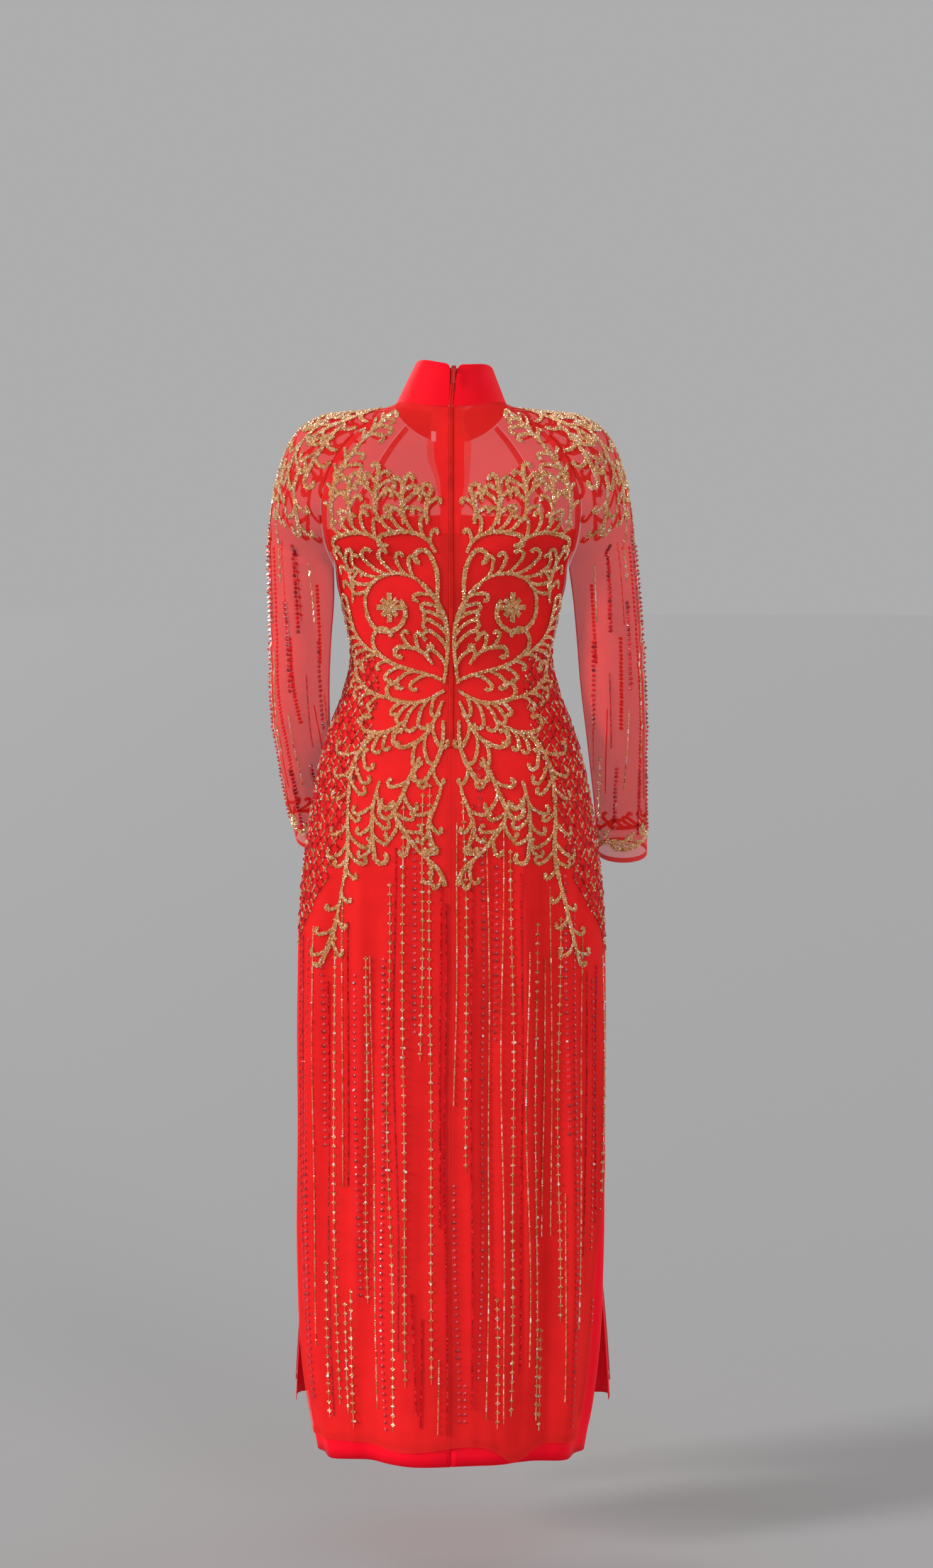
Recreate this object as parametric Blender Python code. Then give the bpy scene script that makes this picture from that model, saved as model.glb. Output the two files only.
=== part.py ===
"""A worn ao dai tunic: stand collar, raglan sleeves of sheer mesh, sheer panels over an opaque lining.

Metres, +Z up. The origin is the middle of the neck seam, level with that seam at the centre back.
+Y is the way the wearer faces and +X is the wearer's right, so the zip is at -Y.
Every panel is a smooth surface through a few named sections. A cloth piece is a thin wall on that surface,
and pieces that lie on each other are the same surface, moved in by their layer's depth.
"""

import math

import bmesh
import bpy
import numpy as np
from mathutils import Matrix, Vector

# Driving sizes
UNDERARM_DOWN = 0.205
SLIT_TOP_DOWN = 0.365
BACK_HEM_DOWN = 1.355
FRONT_HEM_DOWN = 1.338
HEM_CORNER_DROP = 0.014
MESH_HEM_LIFT = 0.022
ZIP_END_DOWN = 0.433
TAPE_END_DOWN = 0.441
SEAM_GAP = 0.0004
CB_OPENING = 0.0056

# Neck seam and collar. Angles go round the neck from the centre back, in degrees.
NECK_HALF_WIDTH = 0.0715
NECK_BACK = 0.060
NECK_FRONT = 0.066
NECK_SIDE_RISE = 0.002
NECK_FRONT_DROP = 0.042
BACK_RAGLAN_ANGLE = 70.0
FRONT_RAGLAN_ANGLE = 125.0
NECK_BLEND_SHARE = 0.35
COLLAR_TOP_HALF_WIDTH = 0.0505
COLLAR_TOP_BACK = 0.0465
COLLAR_TOP_FRONT = 0.058
COLLAR_TOP_SHIFT = 0.004
COLLAR_BACK_HEIGHT = 0.053
COLLAR_FRONT_HEIGHT = 0.040
COLLAR_LEAN = 0.07
COLLAR_WALL = 0.002
COLLAR_TOP_OPENING = 0.0085

# Layers, as depths in from the garment's outer surface
MESH_DEPTH, MESH_WALL = 0.0, 0.001
TAPE_DEPTH, TAPE_WALL = 0.0014, 0.0008
LINING_DEPTH, LINING_WALL = 0.0027, 0.001
LABEL_DEPTH, LABEL_WALL = 0.0026, 0.0008

# The raglan seams and the shoulder line between them, on the wearer's right, from the neck to the underarm.
# share: 0 at the neck, 1 at the underarm. Turns are the way a section crosses the seam, in degrees from +X,
# on the body's side and on the sleeve's side; rises are how much it climbs there.
# Columns: share, x, y, z, body_turn, body_rise, sleeve_turn, sleeve_rise.
BACK_RAGLAN = (
    (0.0, 0.0672, -0.0205, 0.0065, 66.0, 0.00, 66.0, 0.00),
    (0.2, 0.1060, -0.0500, -0.0200, 42.0, 0.28, 42.0, 0.28),
    (0.4, 0.1400, -0.0750, -0.0550, 30.0, 0.34, 30.0, 0.34),
    (0.6, 0.1590, -0.0870, -0.0950, 21.0, 0.24, 19.0, 0.24),
    (0.8, 0.1650, -0.0800, -0.1440, 36.0, 0.15, 2.0, 0.12),
    (0.9, 0.1605, -0.0520, -0.1780, 62.0, 0.08, -22.0, 0.10),
    (1.0, 0.1510, 0.0000, -0.2050, 90.0, 0.00, -90.0, 0.00),
)
FRONT_RAGLAN = (
    (0.0, 0.0586, 0.0379, -0.0176, 52.0, 0.60, 52.0, 0.60),
    (0.2, 0.0830, 0.0620, -0.0460, 33.0, 0.34, 33.0, 0.34),
    (0.4, 0.1080, 0.0810, -0.0840, 26.0, 0.40, 26.0, 0.40),
    (0.6, 0.1300, 0.0880, -0.1190, 26.0, 0.36, 20.0, 0.40),
    (0.8, 0.1490, 0.0720, -0.1590, 44.0, 0.18, 2.0, 0.22),
    (0.9, 0.1535, 0.0430, -0.1850, 66.0, 0.08, -24.0, 0.12),
    (1.0, 0.1510, 0.0000, -0.2050, 90.0, 0.00, -90.0, 0.00),
)

# Columns: share, x, y, z, roundness.
SHOULDER = (
    (0.0, 0.0715, 0.0020, 0.0020, 0.36),
    (0.2, 0.1250, 0.0040, -0.0040, 0.38),
    (0.4, 0.1700, 0.0050, -0.0115, 0.40),
    (0.6, 0.2020, 0.0040, -0.0350, 0.42),
    (0.8, 0.2235, 0.0020, -0.0850, 0.46),
    (0.9, 0.2315, 0.0000, -0.1240, 0.56),
    (1.0, 0.2370, 0.0000, -0.1750, 0.76),
)

# Profiles down the centre back and centre front of the yoke
# Columns: share, back_y, front_y.
YOKE = (
    (0.0, -0.0600, 0.0660),
    (0.2, -0.0780, 0.0820),
    (0.4, -0.0930, 0.0970),
    (0.6, -0.1030, 0.1100),
    (0.8, -0.1080, 0.1200),
    (1.0, -0.1080, 0.1270),
)

# Sections below the underarm: the centre line's depth and the place of the panel's edge, on back and front.
# The edges are the side seam down to the slit's top, and hang free below it.
# Columns: down, back_y, back_edge_x, back_edge_y, front_y, front_edge_x, front_edge_y.
BODY = (
    (0.205, -0.1080, 0.1510, 0.000, 0.1270, 0.1510, 0.000),
    (0.225, -0.1060, 0.1495, 0.000, 0.1290, 0.1495, 0.000),
    (0.270, -0.0960, 0.1385, 0.000, 0.1140, 0.1385, 0.000),
    (0.330, -0.0800, 0.1315, 0.000, 0.0970, 0.1315, 0.000),
    (0.365, -0.0810, 0.1400, 0.000, 0.0960, 0.1400, 0.000),
    (0.420, -0.0960, 0.1610, -0.008, 0.1000, 0.1470, 0.014),
    (0.490, -0.1180, 0.1790, -0.015, 0.1050, 0.1450, 0.034),
    (0.545, -0.1265, 0.1880, -0.018, 0.1070, 0.1400, 0.048),
    (0.620, -0.1260, 0.1980, -0.020, 0.1090, 0.1420, 0.052),
    (0.770, -0.1250, 0.2040, -0.020, 0.1120, 0.1650, 0.044),
    (0.935, -0.1290, 0.2030, -0.020, 0.1150, 0.1840, 0.036),
    (1.100, -0.1350, 0.2020, -0.018, 0.1190, 0.1960, 0.036),
    (1.240, -0.1410, 0.1940, -0.014, 0.1250, 0.2080, 0.056),
    (1.370, -0.1460, 0.1730, -0.008, 0.1310, 0.2170, 0.092),
)

# Sleeve sections below the underarm: the middle, the half sizes across and fore-and-aft, and how far the
# section's outer and front sides are lifted.
# Columns: x, y, z, half_width, half_depth, outer_lift, front_lift.
RIGHT_SLEEVE = (
    (0.1944, 0.000, -0.1900, 0.0426, 0.0550, 0.0150, 0.000),
    (0.2000, -0.003, -0.2400, 0.0425, 0.0530, 0.0070, 0.000),
    (0.2050, -0.006, -0.3000, 0.0425, 0.0500, 0.0020, 0.000),
    (0.2095, -0.002, -0.3600, 0.0420, 0.0470, 0.0000, 0.006),
    (0.2150, 0.015, -0.4200, 0.0395, 0.0430, 0.0000, 0.014),
    (0.2190, 0.033, -0.4700, 0.0370, 0.0390, 0.0000, 0.014),
    (0.2235, 0.052, -0.5200, 0.0352, 0.0350, 0.0000, 0.013),
    (0.2265, 0.067, -0.5600, 0.0346, 0.0330, 0.0000, 0.012),
    (0.2280, 0.077, -0.5860, 0.0342, 0.0320, 0.0000, 0.012),
)
LEFT_SLEEVE = (
    (0.1944, 0.000, -0.1900, 0.0426, 0.0550, 0.0150, 0.000),
    (0.1935, -0.003, -0.2400, 0.0420, 0.0525, 0.0070, 0.000),
    (0.1950, -0.004, -0.3000, 0.0395, 0.0485, 0.0020, 0.000),
    (0.1965, 0.000, -0.3550, 0.0385, 0.0450, 0.0000, 0.008),
    (0.1960, 0.020, -0.4050, 0.0372, 0.0415, 0.0000, 0.018),
    (0.1930, 0.045, -0.4500, 0.0350, 0.0375, 0.0000, 0.020),
    (0.1890, 0.071, -0.4950, 0.0340, 0.0345, 0.0000, 0.019),
    (0.1840, 0.095, -0.5350, 0.0332, 0.0325, 0.0000, 0.018),
    (0.1790, 0.117, -0.5700, 0.0326, 0.0310, 0.0000, 0.017),
)

# Soft swellings that the cut gives the yoke and bodice
# Columns: x, down, reach_across, reach_down, height.
BUST_CUP = (0.076, 0.205, 0.050, 0.055, 0.017)
SHOULDER_BLADE = (0.085, 0.130, 0.050, 0.070, 0.006)

# Folds of the skirt panels: place across the panel (-1 left edge, 0 centre, 1 right edge), half width as a
# share of the half panel, where it starts, and how far it stands out at the hem. Below zero it is a trough.
# Columns: place, half_width, start_down, height.
BACK_FOLDS = (
    (-0.90, 0.13, 0.60, 0.0065),
    (-0.66, 0.15, 0.46, 0.0110),
    (-0.42, 0.14, 0.56, -0.0080),
    (-0.16, 0.15, 0.72, 0.0055),
    (0.10, 0.14, 0.80, -0.0045),
    (0.36, 0.15, 0.62, -0.0070),
    (0.60, 0.15, 0.44, 0.0120),
    (0.86, 0.14, 0.66, 0.0060),
)
FRONT_FOLDS = (
    (-0.84, 0.15, 0.62, 0.0080),
    (-0.52, 0.15, 0.50, -0.0080),
    (-0.24, 0.15, 0.56, 0.0090),
    (0.06, 0.15, 0.74, -0.0055),
    (0.34, 0.15, 0.54, 0.0095),
    (0.62, 0.15, 0.50, -0.0070),
    (0.88, 0.14, 0.64, 0.0080),
)

# How far the mesh layer stops short of the lining's edge below the slit, on the left and right of a panel
# Columns: down, left, right.
MESH_TRIM = (
    (0.365, 0.0004, 0.0004),
    (0.450, 0.0060, 0.0040),
    (0.620, 0.0110, 0.0060),
    (0.900, 0.0120, 0.0070),
    (1.100, 0.0110, 0.0200),
    (1.355, 0.0090, 0.0280),
)
LINING_ARMHOLE_TRIM = 0.0035

# How straight a section leaves the centre line, and how straight it meets the panel's edge
BACK_FLATNESS, FRONT_FLATNESS, EDGE_HANDLE = 0.44, 0.42, 0.35

# The lining's top edge at the centre, and how much lower it is at the armhole
BACK_LINING_TOP, BACK_LINING_SLOPE = 0.162, 0.0103
FRONT_LINING_TOP, FRONT_LINING_SLOPE = 0.56 * UNDERARM_DOWN, 0.10 * UNDERARM_DOWN

# Steps of the solids' faces
YOKE_SHARES = (0.0, 0.13, 0.27, 0.41, 0.55, 0.68, 0.79, 0.84, 0.90, 0.95, 1.0)
BODY_DOWNS = (0.240, 0.275, 0.305, 0.335, 0.367, 0.400, ZIP_END_DOWN, TAPE_END_DOWN, 0.495, 0.555,
              0.640, 0.740, 0.850, 0.965, 1.080, 1.190, 1.285)
BACK_LINING_FIRST_SHARE, FRONT_LINING_FIRST_SHARE = 0.89, 0.7
BACK_LINING_LAST_DOWN = 1.320
HALF_COLUMNS = 12
EDGE_CROWDING = 1.3
COLUMNS_AROUND = 14
ARM_ROWS = 9
STEP = 1e-4

# Zip and label
CHAIN_WIDTH, CHAIN_PROUD, CHAIN_THICK = 0.0044, 0.0006, 0.0016
CHAIN_UPS_ON_COLLAR = (0.034, 0.019, 0.004)
CHAIN_END_GAP = 0.001
TAPE_WIDTH = 0.0125
TAPE_INNER_EDGE = 0.0003
LABEL_WIDTH, LABEL_HEIGHT, LABEL_TOP_DOWN, LABEL_TUCK = 0.0045, 0.0125, 0.034, 0.0015
SLIDER_WIDTH, SLIDER_HEIGHT, SLIDER_THICK, SLIDER_UP = 0.0062, 0.0080, 0.0024, 0.0475
SLIDER_BEVEL, SLIDER_CLEAR = 0.0006, 0.0003
BAIL_AXIS_OUT, BAIL_AXIS_INSET, BAR_RADIUS = 0.0022, 0.0022, 0.0005
BAIL_GAP, POST_WIDTH, POST_HALF_HEIGHT, POST_ROOT = 0.0036, 0.0008, 0.0008, 0.0008
PULL_LENGTH, PULL_WIDTH, PULL_NECK, PULL_THICK = 0.0225, 0.0042, 0.0024, 0.0011
KNUCKLE_RADIUS, KNUCKLE_HOLE, KNUCKLE_LENGTH = 0.0012, 0.0008, 0.0028

# Columns: base colour, roughness, metallic.
MATERIALS = {
    "mesh": ((0.78, 0.030, 0.025), 0.75, 0.0),
    "lining": ((0.70, 0.004, 0.030), 0.55, 0.0),
    "collar": ((0.72, 0.006, 0.012), 0.60, 0.0),
    "zip_tape": ((0.60, 0.003, 0.008), 0.80, 0.0),
    "zip_metal": ((0.62, 0.06, 0.05), 0.35, 0.6),
    "label": ((0.82, 0.82, 0.84), 0.70, 0.0),
}


def clear_scene():
    for obj in list(bpy.data.objects):
        bpy.data.objects.remove(obj)


def make_material(name):
    colour, roughness, metallic = MATERIALS[name]
    material = bpy.data.materials.new(name)
    material.use_nodes = True
    shader = material.node_tree.nodes["Principled BSDF"]
    shader.inputs["Base Color"].default_value = (*colour, 1.0)
    shader.inputs["Roughness"].default_value = roughness
    shader.inputs["Metallic"].default_value = metallic
    return material


def smooth(table, at):
    """The table's columns after the first, at places along the first, on smooth curves through its rows."""
    rows = np.array(table, float)
    knots, values = rows[:, 0], rows[:, 1:]
    slopes = np.gradient(values, knots, axis=0)
    at = np.clip(at, knots[0], knots[-1])
    i = np.clip(np.searchsorted(knots, at, side="right") - 1, 0, len(knots) - 2)
    width = (knots[i + 1] - knots[i])[:, None]
    t = (at - knots[i])[:, None] / width
    return (
        values[i] * (1 + 2 * t) * (1 - t) ** 2
        + values[i + 1] * t * t * (3 - 2 * t)
        + (slopes[i] * t * (1 - t) ** 2 - slopes[i + 1] * t * t * (1 - t)) * width
    )


def ease(low, high, value):
    t = np.clip((value - low) / (high - low), 0.0, 1.0)
    return t * t * (3 - 2 * t)


def bezier(start, leave, arrive, end, t):
    t = t[:, None]
    return (
        start * (1 - t) ** 3
        + (start + leave) * 3 * t * (1 - t) ** 2
        + (end - arrive) * 3 * t * t * (1 - t)
        + end * t**3
    )


def points(x, y, z):
    columns = np.broadcast_arrays(np.atleast_1d(x), np.atleast_1d(y), np.atleast_1d(z))
    return np.stack(columns, axis=1).astype(float)


def length(vectors):
    return np.linalg.norm(vectors, axis=1, keepdims=True)


def heading(turn, rise, forward):
    """Unit vectors turned from +X towards +Y, or towards -Y for the front, that also climb."""
    angle = np.radians(turn)
    way = points(np.cos(angle), forward * np.sin(angle), rise)
    return way / length(way)


def neck_ring(angle):
    """The neck seam at angles round it, in degrees from the centre back."""
    angle = np.radians(angle)
    depth = np.where(np.cos(angle) > 0, NECK_BACK, NECK_FRONT)
    half_drop = -NECK_FRONT_DROP / 2
    saddle = (half_drop - NECK_SIDE_RISE) / 2
    level = (half_drop + NECK_SIDE_RISE) / 2 - half_drop * np.cos(angle) + saddle * np.cos(2 * angle)
    return points(NECK_HALF_WIDTH * np.sin(angle), -depth * np.cos(angle), level)


def to_neck(place, first, angle, share):
    """Points of the yoke moved so that its first section lies on the neck seam, fading out down the yoke."""
    return place + (neck_ring(angle) - first) * ease(NECK_BLEND_SHARE, 0.0, share)[:, None]


def swell(spec, across, x, down):
    """The swelling's height, which dies away before the panel's edge."""
    middle, level, reach_across, reach_down, height = spec
    spread = ((np.abs(x) - middle) / reach_across) ** 2 + ((down - level) / reach_down) ** 2
    return height * np.exp(-spread) * ease(0, 0.3, 1 - across)


def fold_height(folds, place, down, hem):
    total = np.zeros(len(place))
    for middle, half_width, start, height in folds:
        total += height * np.exp(-2.2 * ((place - middle) / half_width) ** 2) * ease(start, hem, down)
    return total


def half_section(centre, edge, way, across, flatness):
    """A curve from the centre line, where it runs straight across, to the panel's edge."""
    chord = length(edge - centre)
    straight_out = np.array([1.0, 0.0, 0.0]) * flatness * chord
    return bezier(centre, straight_out, way * EDGE_HANDLE * chord, edge, across)


def yoke_section(profile, level, raglan, forward, across, share, flatness):
    centre = points(0.0, profile, level)
    seam = smooth(raglan, share)
    return half_section(centre, seam[:, :3], heading(seam[:, 3], seam[:, 4], forward), across, flatness)


def back_base(across, down):
    """Points of the right back half. across is 0 at the centre back and 1 at the edge."""
    share = np.clip(down / UNDERARM_DOWN, 0.0, 1.0)
    yoke = yoke_section(smooth(YOKE, share)[:, 0], -down, BACK_RAGLAN, 1, across, share, BACK_FLATNESS)
    first = yoke_section(YOKE[0][1], 0.0, BACK_RAGLAN, 1, across, share * 0, BACK_FLATNESS)
    yoke = to_neck(yoke, first, across * BACK_RAGLAN_ANGLE, share)
    centre_y, edge_x, edge_y = smooth(BODY, down)[:, :3].T
    level = -down - HEM_CORNER_DROP * across**2 * ease(0.9, BACK_HEM_DOWN, down)
    centre, edge = points(0, centre_y, level), points(edge_x, edge_y, level)
    body = half_section(centre, edge, heading(90, 0, 1), across, BACK_FLATNESS)
    return np.where((down <= UNDERARM_DOWN)[:, None], yoke, body)


def front_base(across, down):
    """Points of the right front half. In the yoke, down is a share of it times UNDERARM_DOWN."""
    share = np.clip(down / UNDERARM_DOWN, 0.0, 1.0)
    level = -NECK_FRONT_DROP - (UNDERARM_DOWN - NECK_FRONT_DROP) * share
    yoke = yoke_section(smooth(YOKE, share)[:, 1], level, FRONT_RAGLAN, -1, across, share, FRONT_FLATNESS)
    neck = -NECK_FRONT_DROP
    first = yoke_section(YOKE[0][2], neck, FRONT_RAGLAN, -1, across, share * 0, FRONT_FLATNESS)
    yoke = to_neck(yoke, first, 180 - across * (180 - FRONT_RAGLAN_ANGLE), share)
    centre_y, edge_x, edge_y = smooth(BODY, down)[:, 3:].T
    centre, edge = points(0, centre_y, -down), points(edge_x, edge_y, -down)
    body = half_section(centre, edge, heading(90, 0, -1), across, FRONT_FLATNESS)
    return np.where((down <= UNDERARM_DOWN)[:, None], yoke, body)


def half_normals(base, across, down, flip):
    """Outward unit normals of base(across, down), from small steps along it."""
    right, left = np.minimum(across + STEP, 1.0), np.maximum(across - STEP, 0.0)
    low, high = down + STEP, np.maximum(down - STEP, 0.0)
    normal = np.cross(base(right, down) - base(left, down), base(across, low) - base(across, high))
    return normal * flip / length(normal)


def shaped_half(base, flip, spec, folds, hem):
    """The half panel with its swellings and folds, as a function of side, across, down and depth."""

    def shape(side, across, down, depth):
        across, down = np.broadcast_arrays(np.atleast_1d(across).astype(float), down)
        place = base(across, down)
        out = swell(spec, across, place[:, 0], -place[:, 2]) + fold_height(folds, side * across, down, hem)
        place = place + half_normals(base, across, down, flip) * (out - depth)[:, None]
        return place * np.array([side, 1, 1])

    return shape


back_shape = shaped_half(back_base, -1, SHOULDER_BLADE, BACK_FOLDS, BACK_HEM_DOWN)
front_shape = shaped_half(front_base, 1, BUST_CUP, FRONT_FOLDS, FRONT_HEM_DOWN)


def with_running_length(table):
    """A sleeve's sections with the distance along its middles put in front."""
    rows = np.array(table, float)
    steps = np.linalg.norm(np.diff(rows[:, :3], axis=0), axis=1)
    return np.column_stack([np.concatenate([[0], np.cumsum(steps)]), rows])


def over_the_arm(start, leave, ridge, over, end, arrive, roundness, around):
    """A section from start over the ridge to end, as two curves that meet on the ridge."""
    back_size, front_size = roundness * length(ridge - start), roundness * length(end - ridge)
    back = bezier(start, leave * back_size, over * back_size, ridge, around * 2)
    front = bezier(ridge, over * front_size, arrive * front_size, end, around * 2 - 1)
    return np.where((around <= 0.5)[:, None], back, front)


def sleeve_cap(around, share):
    """Points of the cap between the raglan seams, from the back seam to the front one."""
    back, front, top = smooth(BACK_RAGLAN, share), smooth(FRONT_RAGLAN, share), smooth(SHOULDER, share)
    clear = points(2 * SEAM_GAP * ease(0.6, 1.0, share), 0.0, 0.0)
    leave, arrive = heading(back[:, 5], back[:, 6], 1), -heading(front[:, 5], front[:, 6], -1)
    return over_the_arm(
        back[:, :3] + clear, leave, top[:, :3], np.array([0.0, 1.0, 0.0]),
        front[:, :3] + clear, arrive, top[:, 3:4], around,
    )


def sleeve_arm(sections, around, along):
    """Points of the arm, from its inner line at the back, over its outer side, and round again."""
    x, y, z, half_width, half_depth, outer_lift, front_lift = smooth(sections, along).T
    inner, ridge = points(x - half_width, y, z - outer_lift), points(x + half_width, y, z + outer_lift)
    over = points(0.0, half_depth, front_lift)
    over = over / length(over)
    roundness = half_depth[:, None] * 4 / 3 / length(ridge - inner)
    return over_the_arm(inner, -over, ridge, over, inner, -over, roundness, around)


def sleeve_base(sections, around, along):
    """Points of the right sleeve. along is the cap's share up to 1, then 1 and the metres down the arm."""
    around, along = np.broadcast_arrays(np.atleast_1d(around).astype(float), along)
    share = np.clip(along, 0.0, 1.0)
    angle = BACK_RAGLAN_ANGLE + (FRONT_RAGLAN_ANGLE - BACK_RAGLAN_ANGLE) * around
    cap = to_neck(sleeve_cap(around, share), sleeve_cap(around, share * 0), angle, share)
    arm = sleeve_arm(sections, around, np.maximum(along - 1, 0.0))
    return np.where((along <= 1)[:, None], cap, arm)


def sleeve_normals(sections, around, along):
    low, high = np.minimum(along + STEP, sections[-1, 0] + 1), np.maximum(along - STEP, 0.0)
    at_joint = (along == 1) & ((around == 0) | (around == 1))
    high = np.where(at_joint, along, high)
    back, front = around - STEP, around + STEP
    back = np.where(along >= 1, back % 1.0, np.maximum(back, 0.0))
    front = np.where(along >= 1, front % 1.0, np.minimum(front, 1.0))
    across = sleeve_base(sections, front, along) - sleeve_base(sections, back, along)
    normal = np.cross(sleeve_base(sections, around, low) - sleeve_base(sections, around, high), across)
    return normal / length(normal)


def sleeve_shape(sections, side, around, along, depth):
    around, along = np.broadcast_arrays(np.atleast_1d(around).astype(float), along)
    place = sleeve_base(sections, around, along)
    return (place - sleeve_normals(sections, around, along) * depth) * np.array([side, 1, 1])


def wall_object(name, outer, inner, material, closed_from=None):
    """A closed thin wall between two grids. From row closed_from on, the last column is the first."""
    rows, columns = outer.shape[:2]
    mesh = bmesh.new()
    made = {}

    def vertex(layer, i, j):
        if closed_from is not None and i >= closed_from and j == columns - 1:
            j = 0
        if (layer, i, j) not in made:
            grid = outer if layer == "outer" else inner
            made[layer, i, j] = mesh.verts.new(grid[i, j])
        return made[layer, i, j]

    def rim(a, b):
        mesh.faces.new((vertex("outer", *a), vertex("outer", *b), vertex("inner", *b), vertex("inner", *a)))

    for i in range(rows - 1):
        for j in range(columns - 1):
            for corners in (((i, j), (i, j + 1), (i + 1, j + 1)), ((i, j), (i + 1, j + 1), (i + 1, j))):
                mesh.faces.new([vertex("outer", *corner) for corner in corners])
                mesh.faces.new([vertex("inner", *corner) for corner in reversed(corners)])
    for j in range(columns - 1):
        rim((0, j), (0, j + 1))
        rim((rows - 1, j), (rows - 1, j + 1))
    for i in range(rows - 1 if closed_from is None else closed_from):
        rim((i, 0), (i + 1, 0))
        rim((i, columns - 1), (i + 1, columns - 1))
    return finish_object(name, mesh, material)


def finish_object(name, mesh, material):
    bmesh.ops.recalc_face_normals(mesh, faces=mesh.faces)
    if mesh.calc_volume(signed=True) < 0:
        bmesh.ops.reverse_faces(mesh, faces=mesh.faces)
    data = bpy.data.meshes.new(name)
    mesh.to_mesh(data)
    mesh.free()
    data.shade_smooth()
    data.set_sharp_from_angle(angle=math.radians(40))
    data.materials.append(material)
    obj = bpy.data.objects.new(name, data)
    bpy.context.scene.collection.objects.link(obj)
    return obj


def share_of_metre(shape, side, down, across):
    """How much of the half panel's width one metre is, near a place on it."""
    ends = shape(side, np.array([across - 0.05, across + 0.05]), down, 0.0)
    return 0.1 / np.linalg.norm(ends[1] - ends[0])


def half_grid(shape, side, downs, depth, lead_of, trim_of, top_of=None):
    """Points of a half panel, a row for each of downs. The first row follows top_of(columns) if given.

    lead_of gives the first columns' distances from the centre line; trim_of, how far the last stops short.
    """
    grid = np.zeros((len(downs), HALF_COLUMNS, 3))
    for i, down in enumerate(downs):
        lead = np.array(lead_of(down)) * share_of_metre(shape, side, down, 0.05)
        rest = 1 - np.linspace(1, 0, HALF_COLUMNS - len(lead) + 1)[1:] ** EDGE_CROWDING
        columns = np.concatenate([lead, lead[-1] + (1 - lead[-1]) * rest])
        columns[-1] = 1 - trim_of(down) * share_of_metre(shape, side, down, 0.95)
        level = top_of(columns) if top_of and i == 0 else down
        grid[i] = shape(side, columns, level, depth)
    return grid


def back_lead(down):
    """The zip's half opening down to its end, the seam's below it, and then the zip tape's width."""
    return (CB_OPENING / 2 if down <= ZIP_END_DOWN else SEAM_GAP / 2, TAPE_WIDTH)


def front_lead(down):
    return (0.0,)


def mesh_trim(side):
    def trim(down):
        return smooth(MESH_TRIM, np.array([down]))[0, 0 if side < 0 else 1]

    return trim


def lining_trim(down):
    """The lining stops clear of the sleeve at the armhole, and at the seam's gap below it."""
    return SEAM_GAP + LINING_ARMHOLE_TRIM * (1 - ease(0.20, 0.24, down))


def yoke_downs(first_share=0.0):
    return [UNDERARM_DOWN * share for share in YOKE_SHARES if share >= first_share]


def back_lining_top(across):
    return BACK_LINING_TOP + BACK_LINING_SLOPE * across


def front_lining_top(across):
    return FRONT_LINING_TOP + FRONT_LINING_SLOPE * across


def make_back(materials):
    mesh_downs = [*yoke_downs(), *BODY_DOWNS, BACK_HEM_DOWN - MESH_HEM_LIFT]
    first_rows = [back_lining_top(0), *yoke_downs(BACK_LINING_FIRST_SHARE)]
    lining_downs = [*first_rows, *BODY_DOWNS, BACK_LINING_LAST_DOWN, BACK_HEM_DOWN]
    for side, word in ((-1, "left"), (1, "right")):
        outer, inner = (
            half_grid(back_shape, side, mesh_downs, depth, back_lead, mesh_trim(side))
            for depth in (MESH_DEPTH, MESH_DEPTH + MESH_WALL)
        )
        wall_object(f"back_mesh_{word}", outer, inner, materials["mesh"])
        outer, inner = (
            half_grid(back_shape, side, lining_downs, depth, back_lead, lining_trim, back_lining_top)
            for depth in (LINING_DEPTH, LINING_DEPTH + LINING_WALL)
        )
        wall_object(f"back_lining_{word}", outer, inner, materials["lining"])


def whole_front(downs, depth, trims, top_of=None):
    """The front's points in one piece: the left half's columns, edge first, then the right half's."""
    left, right = (
        half_grid(front_shape, side, downs, depth, front_lead, trim, top_of)
        for side, trim in zip((-1, 1), trims)
    )
    return np.concatenate([left[:, :0:-1], right], axis=1)


def make_front(materials):
    mesh_downs = [*yoke_downs(), *BODY_DOWNS, FRONT_HEM_DOWN - MESH_HEM_LIFT]
    trims = (mesh_trim(-1), mesh_trim(-1))
    outer, inner = (
        whole_front(mesh_downs, depth, trims) for depth in (MESH_DEPTH, MESH_DEPTH + MESH_WALL)
    )
    wall_object("front_mesh", outer, inner, materials["mesh"])
    first_rows = [front_lining_top(0), *yoke_downs(FRONT_LINING_FIRST_SHARE)]
    lining_downs = [*first_rows, *BODY_DOWNS, FRONT_HEM_DOWN]
    outer, inner = (
        whole_front(lining_downs, depth, (lining_trim, lining_trim), front_lining_top)
        for depth in (LINING_DEPTH, LINING_DEPTH + LINING_WALL)
    )
    wall_object("front_lining", outer, inner, materials["lining"])


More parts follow.
